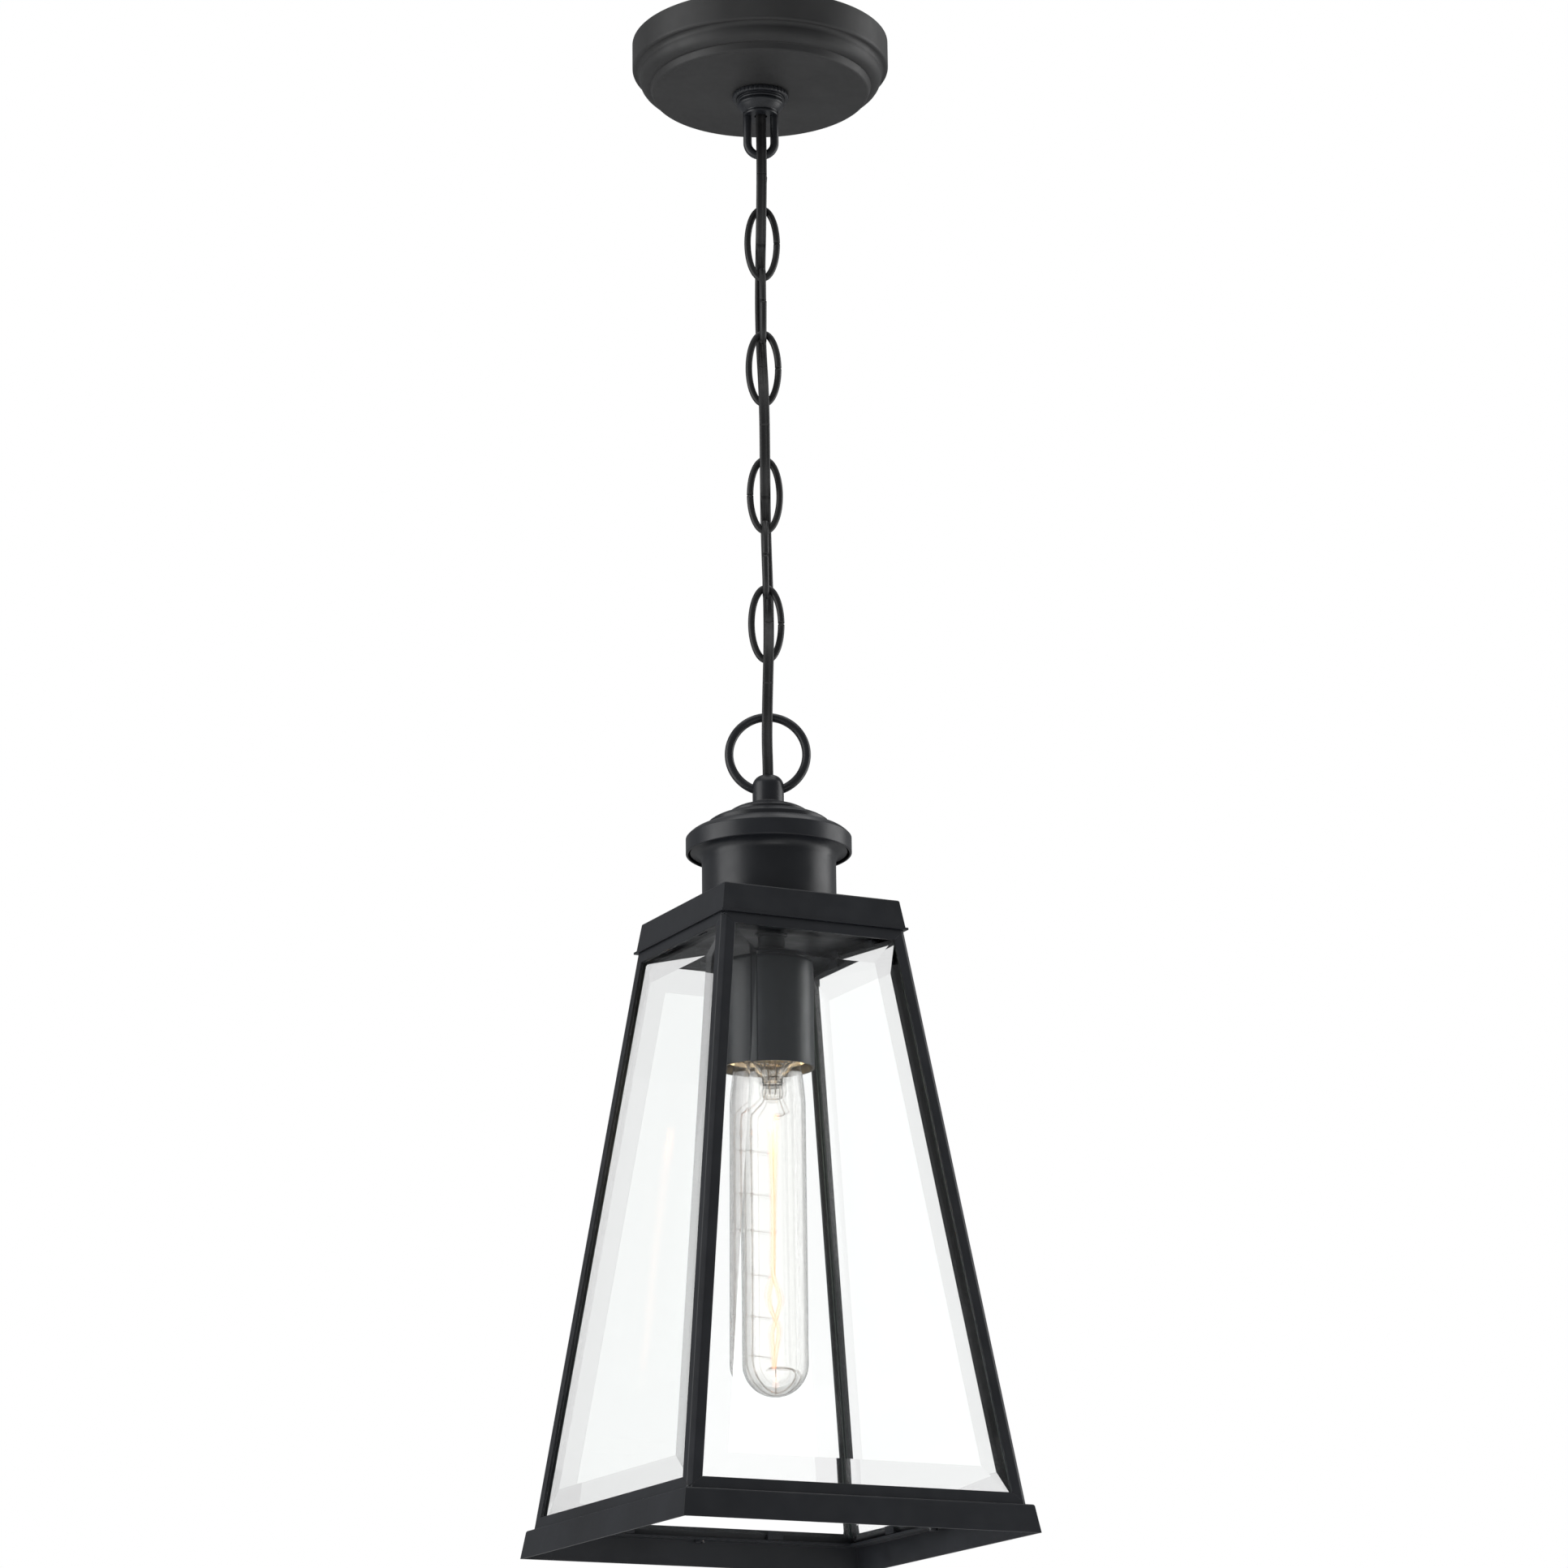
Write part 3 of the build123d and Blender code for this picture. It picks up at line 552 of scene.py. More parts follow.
def make_collar():
    bottom, top = low("canopy_collar").z, high("canopy_collar").z
    teeth = 36

    def knurl(radius, height, angle):
        if radius < COLLAR_R - 0.4:
            return radius
        return radius - 0.32 * max(0.0, math.cos(teeth * angle)) ** 2

    profile = [
        (THREAD_R + 0.1, bottom), (COLLAR_R - 0.6, bottom), (COLLAR_R, bottom + 0.5),
        (COLLAR_R, (bottom + top) / 2), (COLLAR_R, top - 0.4), (COLLAR_R - 0.5, top), (THREAD_R + 0.1, top),
    ]
    collar = lathe("collar_knurled", profile, "black_paint", teeth * 8, knurl)
    place(soften(collar, 0.12, 40.0, 2), "canopy_collar", "black_paint", "canopy_collar")


def make_canopy_loop():
    pitch = 1.5

    def thread(radius, height, angle):
        if radius < THREAD_R - 0.01 or height < -28.8:
            return radius
        return radius - 0.35 + 0.35 * math.cos(2 * math.pi * (height / pitch + angle / (2 * math.pi)))

    shank = [(THREAD_R, -20.0 - 0.25 * k) for k in range(38)]
    hub = lathe("canopy_loop_hub", [(HUB_BORE, -20.0)] + shank + [
        (10.9, -29.4), ((11.4, -30.0), (10.9, -30.6)), (10.4, -30.8), ((11.3, -31.8), (10.6, -32.9)),
        ((9.6, -34.2), (8.3, -35.4)), ((7.9, -36.0), (8.3, -36.6)), (8.1, HUB_LOW), (HUB_BORE, HUB_LOW),
    ], "black_paint", 96, thread)
    centre = PIVOTS[0] + LOOP_HALF_W
    leg = [(-LOOP_HALF_W, 0, HUB_LOW + 2 - 3.5 * k) for k in range(4)]
    turns = 28
    bend = [(-LOOP_HALF_W * math.cos(math.pi * k / turns), 0,
             centre - LOOP_HALF_W * math.sin(math.pi * k / turns)) for k in range(turns + 1)]
    other = [(LOOP_HALF_W, 0, z) for _, _, z in reversed(leg)]
    path = in_chain_plane(leg + bend + other)
    wire = round_wire("canopy_loop_wire", path, LOOP_WIRE_R, "black_paint",
                      in_chain_plane([(0, 1, 0)])[0], 20)
    soften(hub, 0.12, 40.0, 2)
    place(hub, "ceiling_mount", "black_paint", "canopy_loop")
    place(wire, "ceiling_mount", "black_paint")


def make_ceiling_hardware():
    refined("mounting_crossbar", "ceiling_mount", "zinc_steel", width=0.3)
    refined("nipple_nuts_and_washer", "ceiling_mount", "zinc_steel", width=0.2)
    refined("ground_screw", "ceiling_mount", "green_screw", width=0.15)
    top, bottom = high("threaded_nipple").z, low("threaded_nipple").z
    outer_r, bore, pitch = high("threaded_nipple").x, 3.3, 1.2

    def thread(radius, height, angle):
        if radius < bore + 0.5:
            return radius
        return radius - 0.3 + 0.3 * math.cos(2 * math.pi * (height / pitch + angle / (2 * math.pi)))

    steps = int((top - bottom) / 0.2)
    wall = [(outer_r, bottom + (top - bottom) * k / steps) for k in range(steps + 1)]
    nipple = lathe("nipple_threaded", [(bore, top), (bore, bottom)] + wall, "brass", 48, thread)
    place(nipple, "ceiling_mount", "brass", "threaded_nipple")

    base, tip = low("wire_nuts").z, high("wire_nuts").z
    nuts = []
    for side in (-1, 1):
        def ribs(radius, height, angle):
            return radius * (1 + 0.05 * math.cos(12 * angle)) if base + 2 < height < tip - 1 else radius

        nut = lathe("wire_nut", [
            (0, base), (4.3, base), (4.6, base + 0.6), (4.5, base + 2.0), (4.2, base + 3.0),
            (3.7, base + 6.0), (3.2, base + 9.5), (2.8, base + 11.2), ((2.0, tip - 0.2), (0, tip)),
        ], "wire_nut", 72, ribs)
        nut.location = in_chain_plane([(side * 9.0 * MM, 0, 0)])[0]
        bpy.context.view_layer.update()
        nuts.append(nut)
    place(joined("wire_nuts_ribbed", nuts), "ceiling_mount", "wire_nut", "wire_nuts")


# ---------------------------------------------------------------- chain
# side of the slit on each link, and how far the wire's end stands out of line beside it
BUTT_SIDES = [-1, 1, -1, 1, -1, -1, -1, 1, -1]
BUTT_SHIFTS = [-1.15, 0.15, -0.2, 0.2, 0.15, -0.25, 0.2, 0.2, 0.6]
BUTT_GAP = 0.7


def make_links():
    steps = 96
    for k in range(LINK_COUNT):
        slit = BUTT_GAP / 2 / LINK_A
        first = (0 if BUTT_SIDES[k] > 0 else math.pi) + slit
        points = []
        for i in range(steps + 1):
            t = first + (2 * math.pi - 2 * slit) * i / steps
            x, z = LINK_B * math.cos(t), LINK_A * math.sin(t)
            last = max(0.0, (i / steps if BUTT_SIDES[k] > 0 else 1 - i / steps) - 0.80) / 0.20
            points.append((x, BUTT_SHIFTS[k] * last**1.5, LINK_MIDS[k] + z))
        if k % 2 == 0:
            points = [(-y, x, z) for x, y, z in points]
        across = (1, 0, 0.01) if k % 2 == 0 else (0, 1, 0.01)
        path = in_chain_plane(points)
        link = round_wire(f"link_wire_{k + 1}", path, LINK_WIRE_R, "chain_paint",
                          in_chain_plane([across])[0], 18, taper=False)
        place(link, f"link_{k + 1}", "black_paint", f"chain_link_{k + 1}")


# ---------------------------------------------------------------- cord
CORD_HUB_TOP = down(10.5)
CORD_END = down(96.0)


def cord_route():
    """The route of part.py as (y, z), with the small sideways wander of a cord that hangs slack."""
    near, knee, knee_out = 6.0, 15.5, 0.62
    route = [(0.0, CORD_TOP), (0.0, -38.5), (-3.6, -47.5), (-9.0, -57.5)]
    for k in range(0, LINK_COUNT, 2):
        side = -1 if k % 4 == 0 else 1
        mid = LINK_MIDS[k]
        if k > 0:
            route.append((side * CORD_SWING * knee_out, mid + near + knee))
        route.append((side * CORD_SWING, mid + near))
        route.append((side * CORD_SWING, mid - near))
        if k < LINK_COUNT - 1:
            route.append((side * CORD_SWING * knee_out, mid - near - knee))
    route += [(-8.6, CORD_HUB_TOP + 25.8), (-4.6, CORD_HUB_TOP + 14.8), (-1.3, CORD_HUB_TOP + 4.8),
              (0.0, CORD_HUB_TOP - 6.8), (0.0, CORD_END)]
    points = []
    for y, z in route:
        free = 0.0 if z > -40 or z < CORD_HUB_TOP + 5 else 1.0
        wander = free * (0.9 * math.sin((z + 58) / 47.0) + 0.35 * math.sin(z / 17.0))
        points.append((wander, y, z))
    return in_chain_plane(points)


def cord_line():
    """Fine points of the NURBS spline that has the route as its control points, in millimetres."""
    data = bpy.data.curves.new("cord_line", "CURVE")
    data.dimensions = "3D"
    data.resolution_u = 10
    route = cord_route()
    spline = data.splines.new("NURBS")
    spline.points.add(len(route) - 1)
    for point, corner in zip(spline.points, route):
        point.co = (*corner, 1.0)
    spline.order_u = 3
    spline.use_endpoint_u = True
    carrier = bpy.data.objects.new("cord_line", data)
    bpy.context.scene.collection.objects.link(carrier)
    bpy.context.view_layer.update()
    line = bpy.data.meshes.new_from_object(carrier.evaluated_get(bpy.context.evaluated_depsgraph_get()))
    points = [v.co.copy() for v in line.vertices]
    bpy.data.objects.remove(carrier)
    bpy.data.meshes.remove(line)
    return points


def cut_at(points, height):
    """Add a point exactly at a height, so that two spans can share it."""
    for i in range(len(points) - 1):
        a, b = points[i], points[i + 1]
        if a.z > height > b.z:
            share = (a.z - height) / (a.z - b.z)
            if 0.02 < share < 0.98:
                return points[:i + 1] + [a.lerp(b, share)] + points[i + 1:]
            near = i if share <= 0.02 else i + 1
            points[near] = a.lerp(b, share)
            return points
    return points


def twin_section():
    """Figure of eight: two round cores with a groove between them."""
    core = CORD_T / 2
    right = [(core + core * math.cos(math.radians(t)), core * math.sin(math.radians(t)))
             for t in range(-132, 133, 22)]
    left = [(-x, -y) for x, y in right]
    return right + left


def make_cord():
    points = cord_line()
    cuts = [points[0].z + 1] + LINK_MIDS + [points[-1].z - 1]
    for height in LINK_MIDS:
        points = cut_at(points, height)
    bodies = ["ceiling_mount"] + [f"link_{k + 1}" for k in range(LINK_COUNT)] + ["lantern"]
    rings = sweep(points, twin_section(), in_chain_plane([(1, 0, 0)])[0])
    for k in range(len(bodies) - 1):
        chosen = [i for i, p in enumerate(points) if cuts[k + 1] - 1e-4 <= p.z <= cuts[k] + 1e-4]
        verts, faces = loft([rings[i] for i in chosen])
        span = add_mesh(f"cord_span_{k + 1}", verts, faces, "cord_jacket")
        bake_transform(span)
        names = ["power_cord_top"] if k == 0 else [f"power_cord_{k}"]
        if k == len(bodies) - 2:
            names.append("power_cord_bottom")
        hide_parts(*names)
    for start, spread, way, body in ((CORD_TOP, 9.0, 1, "ceiling_mount"), (CORD_END, 8.0, -1, "lantern")):
        for side in (-1, 1):
            near = side * CORD_T / 2
            corners = [(near, 0, start - way), (near, 0, start + 3 * way),
                       (side * spread * 0.6, 0, start + 7 * way), (side * spread, 0, start + 11 * way),
                       (side * spread, 0, start + 15 * way)]
            core = round_wire(f"core_{'top' if way > 0 else 'bottom'}_{side + 2}",
                              in_chain_plane(smooth_points(corners)), 1.2, "cord_jacket", (0, 1, 0.1))
            place(core, body, "cord_jacket")


# ---------------------------------------------------------------- lantern head
HUB_R = 7.3
NIPPLE_R = 4.9
CAP_R = high("cap").x
NECK_R = 31.1
BAND_BOTTOM = RING_Z - low("cap").z
ROOF_TOP = RING_Z - high("roof_box").z
ROOF_BOTTOM = RING_Z - low("roof_box").z


def make_ring():
    hub = lathe("ring_hub", [
        (2.8, down(10.5)), (3.6, down(10.5)), ((6.4, down(12.6)), (HUB_R, down(16.2))),
        (HUB_R, down(23.4)), ((7.5, down(23.9)), (8.2, down(24.1))), (8.2, down(24.9)), (2.8, down(24.9)),
    ], "black_paint", 96)
    turns = 120
    circle_points = [(RING_R * math.sin(2 * math.pi * k / turns), 0,
                      RING_Z + RING_R * math.cos(2 * math.pi * k / turns)) for k in range(turns)]
    ring = round_wire("ring_wire", in_chain_plane(circle_points), LOOP_WIRE_R, "black_paint",
                      in_chain_plane([(0, 1, 0)])[0], 22, closed=True)
    place(soften(hub, 0.15, 30.0, 2), "lantern", "black_paint", "lantern_loop")
    place(ring, "lantern", "black_paint")


def make_head():
    hole = NIPPLE_R + 0.2
    small = lathe("disc_small", [
        (hole, down(24.9)), (8.6, down(24.9)), ((14.4, down(26.1)), (18.3, down(28.2))),
        (18.3, down(30.0)), (hole, down(30.0)),
    ], "black_paint", 128)
    large = lathe("disc_large", [
        (hole, down(30.0)), (18.8, down(30.0)), ((24.4, down(31.2)), (28.2, down(33.4))),
        (28.2, down(36.0)), (hole, down(36.0)),
    ], "black_paint", 128)
    lip = BAND_BOTTOM
    cap = lathe("cap_spun", [
        (hole, down(36.0)), (28.8, down(36.0)), ((34.6, down(37.4)), (CAP_R, down(40.6))),
        (CAP_R, down(lip - 0.9)), ((CAP_R - 0.2, down(lip - 0.2)), (CAP_R - 0.6, down(lip))),
        (CAP_R - 1.1, down(lip)), (CAP_R - 1.1, down(41.1)), ((33.9, down(38.4)), (28.6, down(37.0))),
        (hole, down(37.0)),
    ], "black_paint", 160)
    flare, top = 5.4, 47.4
    bend = flare * (1 - math.sqrt(0.5))
    neck = lathe("neck_flared", [
        (NECK_R, down(ROOF_TOP)), (NECK_R, down(top + flare)),
        ((NECK_R + bend, down(top + bend)), (NECK_R + flare, down(top))),
        (NECK_R + flare, down(top - SHEET)),
        ((NECK_R - SHEET + bend, down(top - SHEET + bend)), (NECK_R - SHEET, down(top + flare))),
        (NECK_R - SHEET, down(ROOF_TOP)),
    ], "black_paint", 160)
    place(soften(small, 0.3), "lantern", "black_paint", "small_cap_disc")
    place(soften(large, 0.3), "lantern", "black_paint", "large_cap_disc")
    place(soften(cap, 0.25), "lantern", "black_paint", "cap")
    place(soften(neck, 0.15), "lantern", "black_paint", "neck")


# ---------------------------------------------------------------- square body
def make_body():
    refined("roof_box", "lantern", "black_paint", width=0.45, segments=3)
    refined("ceiling_plate", "lantern", "black_paint", width=0.2)
    refined("corner_posts", "lantern", "black_paint", width=0.28, segments=3)
    refined("top_rails", "lantern", "black_paint", width=0.22)
    refined("bottom_rails", "lantern", "black_paint", width=0.22)
    refined("base_skirt", "lantern", "black_paint", width=0.5, segments=3)
    refined("base_screws", "lantern", "black_paint", width=0.15)
    refined("glass_clips", "lantern", "black_paint", width=0.12)


FRAME_HALF_TOP = 46.2
FRAME_HALF_BOTTOM = high("corner_posts").x
FRAME_LOW = low("corner_posts").z
FRAME_HIGH = high("corner_posts").z
FRAME_T = 1.6
GLASS_T = 3.0
GLASS_INSET = 5.0
BEVEL_W = 13.5
BEVEL_T = 1.5


def make_glass():
    """Bevelled panels: flat faces, grey-tinted bevels (painted shade) and cut edges each have their own
    finish.
    """
    lean = math.atan((FRAME_HALF_BOTTOM - FRAME_HALF_TOP) / (FRAME_HIGH - FRAME_LOW))
    slope_length = (FRAME_HIGH - FRAME_LOW) / math.cos(lean)
    inward = Vector((0, math.cos(lean), -math.sin(lean)))
    upward = Vector((0, math.sin(lean), math.cos(lean)))
    corner = Vector((0, -FRAME_HALF_BOTTOM, FRAME_LOW))
    bottom, top = 2.6, slope_length - 2.6

    def half_at(y):
        return FRAME_HALF_BOTTOM + (FRAME_HALF_TOP - FRAME_HALF_BOTTOM) * y / slope_length - GLASS_INSET

    def ring(inset, depth):
        y0, y1 = bottom + inset, top - inset
        x0, x1 = half_at(y0) - inset, half_at(y1) - inset
        return [corner + Vector((x, 0, 0)) + upward * y + inward * depth
                for x, y in ((-x0, y0), (x0, y0), (x1, y1), (-x1, y1))]

    rings = [ring(BEVEL_W, FRAME_T), ring(0, FRAME_T + BEVEL_T), ring(0, FRAME_T + GLASS_T)]
    faces = [(0, 1, 2, 3), (8, 9, 10, 11)]
    kinds = [0, 0]
    for level, kind in ((0, 1), (4, 2)):
        for i in range(4):
            j = (i + 1) % 4
            faces.append((level + i, level + j, level + 4 + j, level + 4 + i))
            kinds.append(kind)
    for k, side in enumerate(("front", "right", "back", "left")):
        turn = Matrix.Rotation(math.pi / 2 * k, 3, "Z")
        verts = [turn @ v for level in rings for v in level]
        panel = add_mesh(f"panel_{side}", verts, faces, ["panel_glass", "bevel", "glass_edge"], kinds, False)
        place(panel, "lantern", "panel_glass", f"glass_{side}")


# ---------------------------------------------------------------- lamp holder
STEM_R = 6.3
CUP_R = 19.4
CUP_TOP = RING_Z - high("socket_cup").z
CUP_BOTTOM = RING_Z - low("socket_cup").z
CUP_SEAM = math.radians(223.5)
THREAD_PITCH = 3.63


def make_holder():
    wall = 1.1
    step = 0.28
    fade = math.radians(70)

    def seam(radius, height, angle):
        """The rolled cup's edge lies on top of the sheet below it."""
        if radius < CUP_R - 0.4:
            return radius
        past = (angle - CUP_SEAM) % (2 * math.pi)
        return radius - step * max(0.0, 1 - past / fade)

    cup = lathe("cup_rolled", [
        (NIPPLE_R, down(CUP_TOP)), (CUP_R - 2.5, down(CUP_TOP)),
        ((CUP_R - 0.7, down(CUP_TOP + 0.7)), (CUP_R, down(CUP_TOP + 2.5))),
        (CUP_R, down(CUP_BOTTOM)), (CUP_R - wall, down(CUP_BOTTOM)), (CUP_R - wall, down(CUP_TOP + 2.8)),
        ((CUP_R - wall - 0.5, down(CUP_TOP + 1.6)), (CUP_R - wall - 1.7, down(CUP_TOP + wall))),
        (NIPPLE_R, down(CUP_TOP + wall)),
    ], "black_paint", 360, seam)
    stem = lathe("stem_tube", [
        (NIPPLE_R, down(ROOF_BOTTOM)), (STEM_R + 1.2, down(ROOF_BOTTOM)),
        (STEM_R + 1.2, down(ROOF_BOTTOM + 0.8)), (STEM_R, down(ROOF_BOTTOM + 1.4)), (STEM_R, down(96.2)),
        (STEM_R + 0.4, down(96.6)), (STEM_R + 0.4, down(CUP_TOP)), (NIPPLE_R, down(CUP_TOP)),
    ], "black_paint", 96)
    china = lathe("socket_ceramic", [
        (0, down(112.0)), (15.0, down(112.0)), (16.4, down(113.6)), (16.4, down(145.6)),
        ((16.2, down(146.2)), (15.6, down(146.4))), (14.8, down(146.4)),
        ((14.3, down(146.2)), (14.2, down(145.6))), (14.2, down(117.4)), (0, down(117.4)),
    ], "porcelain", 96)

    def thread(radius, height, angle):
        return radius + 0.30 * math.sin(2 * math.pi * (height / THREAD_PITCH - angle / (2 * math.pi)))

    steps = 64
    top, bottom = down(120.0), down(145.6)
    heights = [top + (bottom - top) * k / steps for k in range(steps + 1)]
    wall_profile = [(13.85, z) for z in heights] + [(13.55, z) for z in reversed(heights)]
    shell = lathe("socket_shell_threaded", wall_profile, "brass", 96, thread)
    place(soften(cup, 0.12, 35.0, 2), "lantern", "black_paint", "socket_cup")
    place(soften(stem, 0.15), "lantern", "black_paint", "stem")
    place(soften(china, 0.1, 40.0, 2), "lantern", "porcelain", "socket_body")
    place(shell, "lantern", "brass", "socket_screw_shell")


# ---------------------------------------------------------------- lamp
BULB_R = 15.0
BULB_TIP = RING_Z - low("lamp_glass").z
BULB_SEAT = RING_Z - high("lamp_glass").z
ROD_X = -10.0


def on_lamp(points):
    """Points (x, y, depth below the ring) of the lamp's inner parts, in the chain's plane."""
    return in_chain_plane([(x, y, down(depth)) for x, y, depth in points])


def wire_on_lamp(name, points, radius, material, slot, steps=6, sides=10):
    path = on_lamp(points)
    piece = round_wire(name, smooth_points(path, steps) if steps else path, radius, material,
                       (0.37, 0.91, 0.17), sides)
    return place(piece, "lamp", slot)


def bead(name, centre, radius, material, slot, stretch=1.0):
    x, y, depth = centre
    steps = 12
    profile = [(radius * math.sin(math.pi * k / steps), stretch * radius * math.cos(math.pi * k / steps))
               for k in range(steps + 1)]
    profile[0], profile[-1] = (0, profile[0][1]), (0, profile[-1][1])
    piece = lathe(name, profile, material, 24)
    piece.location = on_lamp([(x, y, depth)])[0] * MM
    return place(piece, "lamp", slot)


def make_lamp_glass():
    wall = 0.6
    tip = BULB_TIP - BULB_R
    diag = math.sqrt(0.5)
    thin = BULB_R - wall
    glass = lathe("lamp_envelope", [
        (11.9, down(BULB_SEAT)), (13.0, down(BULB_SEAT + 1.5)),
        ((14.0, down(155.0)), (BULB_R, down(166.0))), (BULB_R, down(tip)),
        ((BULB_R * diag, down(tip + BULB_R * diag)), (0, down(BULB_TIP))),
        (0, down(BULB_TIP - wall)), ((thin * diag, down(tip + thin * diag)), (thin, down(tip))),
        (thin, down(166.0)), ((13.2, down(155.0)), (12.2, down(BULB_SEAT + 1.5))),
        (11.1, down(BULB_SEAT)),
    ], "lamp_glass", 128, steps=24)
    place(glass, "lamp", "lamp_glass", "lamp_glass")


def make_lamp_base():
    contact_r, ring_r = 4.2, 9.4
    contact = lathe("lamp_solder", [
        (0, down(119.0)), (2.6, down(119.0)), ((3.7, down(119.5)), (contact_r, down(120.8))),
        (0, down(120.8)),
    ], "solder", 48)
    insulator = lathe("lamp_vitrite", [
        (0, down(120.8)), (5.0, down(120.8)), ((7.6, down(121.6)), (ring_r, down(123.4))), (0, down(123.4)),
    ], "black_glass", 64)

    def thread(radius, height, angle):
        if radius < 12.0 or height > down(126.0):
            return radius
        return radius + 0.25 * math.sin(2 * math.pi * (height / THREAD_PITCH - angle / (2 * math.pi)))

    steps = 50
    run = [(12.7, down(126.2 + (BULB_SEAT - 126.7) * k / steps)) for k in range(steps + 1)]
    shoulder = [(0, down(123.4)), (ring_r, down(123.4)), ((11.8, down(123.9)), (12.4, down(125.4)))]
    seat = [(12.5, down(BULB_SEAT)), (0, down(BULB_SEAT))]
    shell = lathe("lamp_shell", shoulder + run + seat, "brass", 96, thread)
    place(contact, "lamp_carrier", "solder", "lamp_contact")
    place(insulator, "lamp", "black_glass", "lamp_insulator")
    place(shell, "lamp", "brass", "lamp_screw_shell")


def make_lamp_mount():
    """Glass flare that narrows to a flat pinch, with the lead wires sealed in it."""
    flare = lathe("lamp_flare", [
        (9.6, down(BULB_SEAT)), (10.4, down(BULB_SEAT)), ((7.4, down(149.0)), (4.9, down(154.0))),
        (4.4, down(158.0)), (0, down(158.0)), (0, down(157.2)), (3.8, down(157.2)),
        ((6.4, down(149.6)), (9.6, down(BULB_SEAT + 0.4))),
    ], "press_glass", 64)
    pinch_outline = [(-4.4, 1.5), (-4.7, 0.0), (-4.4, -1.5), (0, -1.9),
                     (4.4, -1.5), (4.7, 0.0), (4.4, 1.5), (0, 1.9)]
    levels = [(157.6, 0.86, 1.5), (158.6, 0.97, 1.15), (160.4, 1.02, 1.0), (163.4, 1.0, 0.85),
              (164.6, 0.88, 0.6)]
    rings = [on_lamp([(x * wide, y * deep, depth) for x, y in pinch_outline])
             for depth, wide, deep in levels]
    verts, faces = loft(rings)
    pinch = add_mesh("lamp_pinch", verts, faces, "press_glass")
    pinch.modifiers.new("round", "SUBSURF").levels = 2
    pinch.modifiers["round"].render_levels = 2
    place(flare, "lamp", "press_glass", "lamp_mount")
    place(pinch, "lamp", "press_glass")
    for number, x in enumerate((-3.2, -1.2, 1.2, 3.2)):
        wire_on_lamp(f"lead_in_{number + 1}", [(x * 1.1, 0, 147.0), (x * 1.15, 0, 152.0),
                                               (x, 0, 158.0), (x, 0, 162.0)],
                     0.3, "support_wire", "support_wire")


def make_filament():
    """Side rod with glass beads and anchor hooks, a glass tip bead with a painted glow, and the glowing
    hairpin filament.
    """
    wire_on_lamp("lead_rod", [
        (-3.2, 0, 161.0), (-4.5, 0, 165.5), (-8.4, 0, 170.0), (ROD_X, 0, 174.0), (ROD_X, 0, 200.0),
        (ROD_X, 0, 240.0), (ROD_X - 0.2, 0, 270.0), (ROD_X - 0.2, 0, 284.0), (-8.6, 0, 290.5),
        (-5.4, 0, 295.4), (-1.6, 0, 298.4),
    ], 0.42, "support_wire", "support_wire")
    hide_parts("filament_supports")
    bead("rod_sleeve", (ROD_X, 0, 180.0), 0.95, "press_glass", "press_glass", 2.2)
    anchors = (188.4, 208.2, 225.0, 245.1, 264.1, 282.0)
    for number, depth in enumerate(anchors):
        bead(f"rod_bead_{number + 1}", (ROD_X, 0, depth), 1.15, "press_glass", "press_glass", 0.9)
        end_x = 0.3 if number < 3 else -1.0
        wire_on_lamp(f"anchor_{number + 1}", [(ROD_X + 0.6, 0, depth), (-5.5, 0, depth + 0.4),
                                              (end_x, 0, depth + 1.1), (end_x + 0.7, 0.5, depth + 0.3)],
                     0.14, "support_wire", "support_wire", 5, 8)
    wire_on_lamp("lead_top", [(3.2, 0, 161.0), (3.4, 0, 165.2), (4.7, 0, 169.0), (5.2, 0, 171.2),
                              (3.4, 0, 172.0), (1.1, 0, 172.0), (0.9, 0, 173.0)],
                 0.32, "support_wire", "support_wire")
    wire_on_lamp("hook_bottom", [(-3.0, 0, 287.6), (0, 0, 287.4), (5.4, 0, 287.6), (7.9, 0, 288.4),
                                 (9.0, 0, 291.0), (7.4, 0, 294.4), (4.6, 0, 297.2), (1.4, 0, 298.6),
                                 (-1.6, 0, 298.4)],
                 0.42, "support_wire", "support_wire")
    wire_on_lamp("tip_wire", [(0, 0, 287.6), (0, 0, 291.0), (0, 0, 295.0), (0, 0, 298.6)],
                 0.24, "support_wire", "support_wire")
    # the glass bead at the tip gets the filament's glowing finish: a painted glow, as the bead gives no
    # light of its own
    bead("tip_bead_painted_glow", (0, 0, 292.8), 1.3, "filament", "filament")

    strands = [
        [(1.1, 0, 172.4), (0.9, 0.3, 190.0), (0.4, 0.6, 207.0), (-0.1, 0.6, 226.0), (-0.5, 0.5, 243.5),
         (-2.4, 0.7, 254.0), (-1.6, 0.4, 261.0), (1.1, -0.4, 268.0), (1.4, -0.5, 273.0),
         (0.2, 0, 281.0), (-0.6, 0, 287.4)],
        [(-1.1, 0.2, 179.4), (-0.9, -0.4, 192.0), (-0.5, -0.6, 207.0), (-0.6, -0.6, 226.0),
         (-0.7, -0.5, 243.5), (2.0, -0.6, 255.0), (1.7, -0.3, 260.5), (-1.0, 0.5, 270.0),
         (-1.3, 0.5, 274.0), (-0.9, 0, 281.5), (-0.6, 0, 287.4)],
    ]
    for number, strand in enumerate(strands):
        thin = wire_on_lamp(f"filament_{number + 1}", strand, 0.36, "filament", "filament", 8, 10)
        if number == 0:
            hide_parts("filament")
        wire_on_lamp(f"filament_glow_{number + 1}", strand, 0.95, "glow", "filament", 8, 14)


# ---------------------------------------------------------------- hidden CAD nodes that keep their shape
def finish_nodes():
    slots = {part["node"]: part["material_slot"] for part in frame["record"]["subparts"]}
    for name, node in frame["nodes"].items():
        node.data.materials.clear()
        node.data.materials.append(MATERIALS[slots[name]])


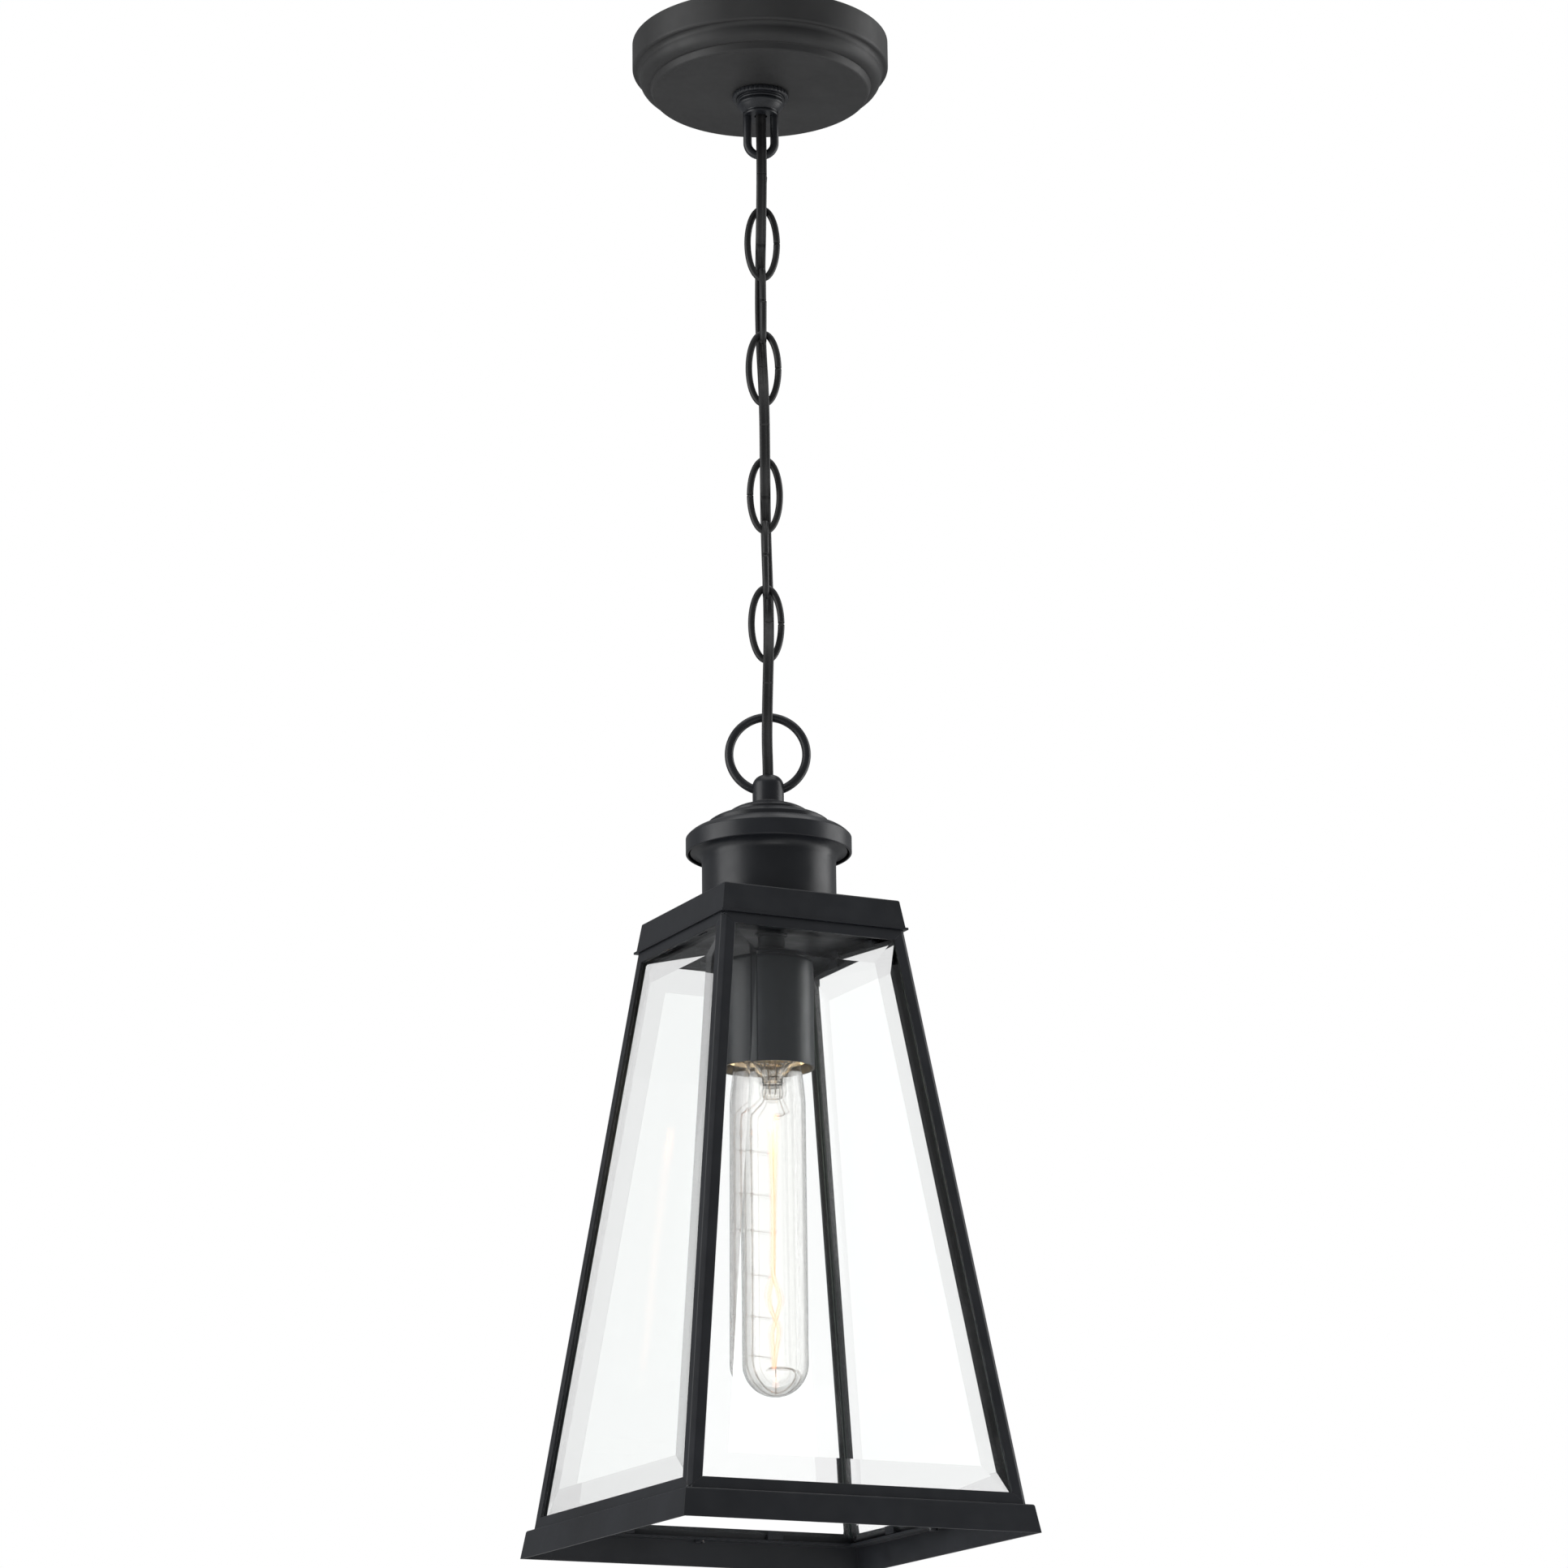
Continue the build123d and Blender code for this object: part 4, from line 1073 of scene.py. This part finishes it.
# ---------------------------------------------------------------- stage and light
FLOOR_Z = -1.35
FLOOR_R = 6.0
LIGHT_TARGET = Vector((0, 0, -0.42))       # middle of the lantern's drop
ROOM_STRENGTH = 0.22                       # what lights and mirrors in the piece
GLASS_LIFT = 0.27                          # extra backdrop strength for what is seen through glass


def area_light(name, azimuth, elevation, distance, size, power):
    """Soft box, placed by degrees right of the camera as seen from the lantern."""
    data = bpy.data.lights.new(name, "AREA")
    data.shape = "RECTANGLE"
    data.size, data.size_y = size
    data.energy = power
    lamp = bpy.data.objects.new(name, data)
    bpy.context.scene.collection.objects.link(lamp)
    turn = -CAMERA_AZIMUTH + math.radians(azimuth)
    level, rise = math.cos(math.radians(elevation)), math.sin(math.radians(elevation))
    offset = Vector((math.sin(turn) * level, -math.cos(turn) * level, rise)) * distance
    lamp.location = LIGHT_TARGET + offset
    lamp.rotation_euler = (-offset).to_track_quat("-Z", "Y").to_euler()


def build_floor():
    work = bmesh.new()
    bmesh.ops.create_circle(work, cap_ends=True, segments=96, radius=FLOOR_R)
    mesh = bpy.data.meshes.new("floor")
    work.to_mesh(mesh)
    work.free()
    floor = bpy.data.objects.new("floor", mesh)
    floor.location.z = FLOOR_Z
    bpy.context.scene.collection.objects.link(floor)
    pale = Paint("pale_floor", (0.80, 0.80, 0.80), 0.7)
    pale.bump(pale.noise(8.0), 0.1, 0.1)
    mesh.materials.append(pale.material)


def math_node(tree, operation, *values):
    """Math node's output; each value is a number or another node's output."""
    node = tree.nodes.new("ShaderNodeMath")
    node.operation = operation
    for socket, value in zip(node.inputs, values):
        if isinstance(value, float):
            socket.default_value = value
        else:
            tree.links.new(value, socket)
    return node.outputs[0]


def build_world():
    """White where it is seen directly or through glass, and a dimmer room for everything else."""
    world = bpy.data.worlds.new("studio")
    bpy.context.scene.world = world
    world.use_nodes = True
    tree = world.node_tree
    backdrop = tree.nodes["Background"]
    backdrop.inputs["Color"].default_value = (1, 1, 1, 1)
    room = tree.nodes.new("ShaderNodeBackground")
    room.inputs["Color"].default_value = (0.96, 0.98, 1.0, 1)
    room.inputs["Strength"].default_value = ROOM_STRENGTH
    ray = tree.nodes.new("ShaderNodeLightPath").outputs
    seen = math_node(tree, "MAXIMUM", ray["Is Camera Ray"], ray["Is Transmission Ray"])
    strength = math_node(tree, "MULTIPLY_ADD", ray["Is Transmission Ray"], GLASS_LIFT, 1.0)
    tree.links.new(strength, backdrop.inputs["Strength"])
    bounces = math_node(tree, "ADD", ray["Diffuse Depth"], ray["Glossy Depth"])
    direct = math_node(tree, "LESS_THAN", bounces, 0.5)
    mix = tree.nodes.new("ShaderNodeMixShader")
    tree.links.new(math_node(tree, "MULTIPLY", seen, direct), mix.inputs["Fac"])
    tree.links.new(room.outputs[0], mix.inputs[1])
    tree.links.new(backdrop.outputs[0], mix.inputs[2])
    tree.links.new(mix.outputs[0], tree.nodes["World Output"].inputs["Surface"])


def build_lights():
    area_light("left_box", -72, 4, 1.9, (1.5, 2.4), 24)
    area_light("right_box", 104, 4, 1.9, (1.3, 2.4), 22)
    area_light("low_fill", 8, -32, 1.7, (1.2, 0.8), 3.0)
    area_light("top_box", 20, 86, 2.4, (3.0, 3.0), 30)
    bulb = bpy.data.lights.new("filament_light", "POINT")
    bulb.energy = 0.3
    bulb.color = (1.0, 0.72, 0.42)
    bulb.shadow_soft_size = 0.003
    source = bpy.data.objects.new("filament_light", bulb)
    source.location = (0, 0, down(176.0) * MM)
    source.visible_camera = False
    source.visible_transmission = False
    source.visible_glossy = False
    bpy.context.scene.collection.objects.link(source)
    bpy.context.scene.view_settings.view_transform = "Standard"
    bpy.context.scene.view_settings.look = "None"


add_camera()
finish_nodes()
make_cord()
make_canopy()
make_collar()
make_canopy_loop()
make_ceiling_hardware()
make_links()
make_ring()
make_head()
make_body()
make_glass()
make_holder()
make_lamp_glass()
make_lamp_base()
make_lamp_mount()
make_filament()
build_floor()
build_world()
build_lights()
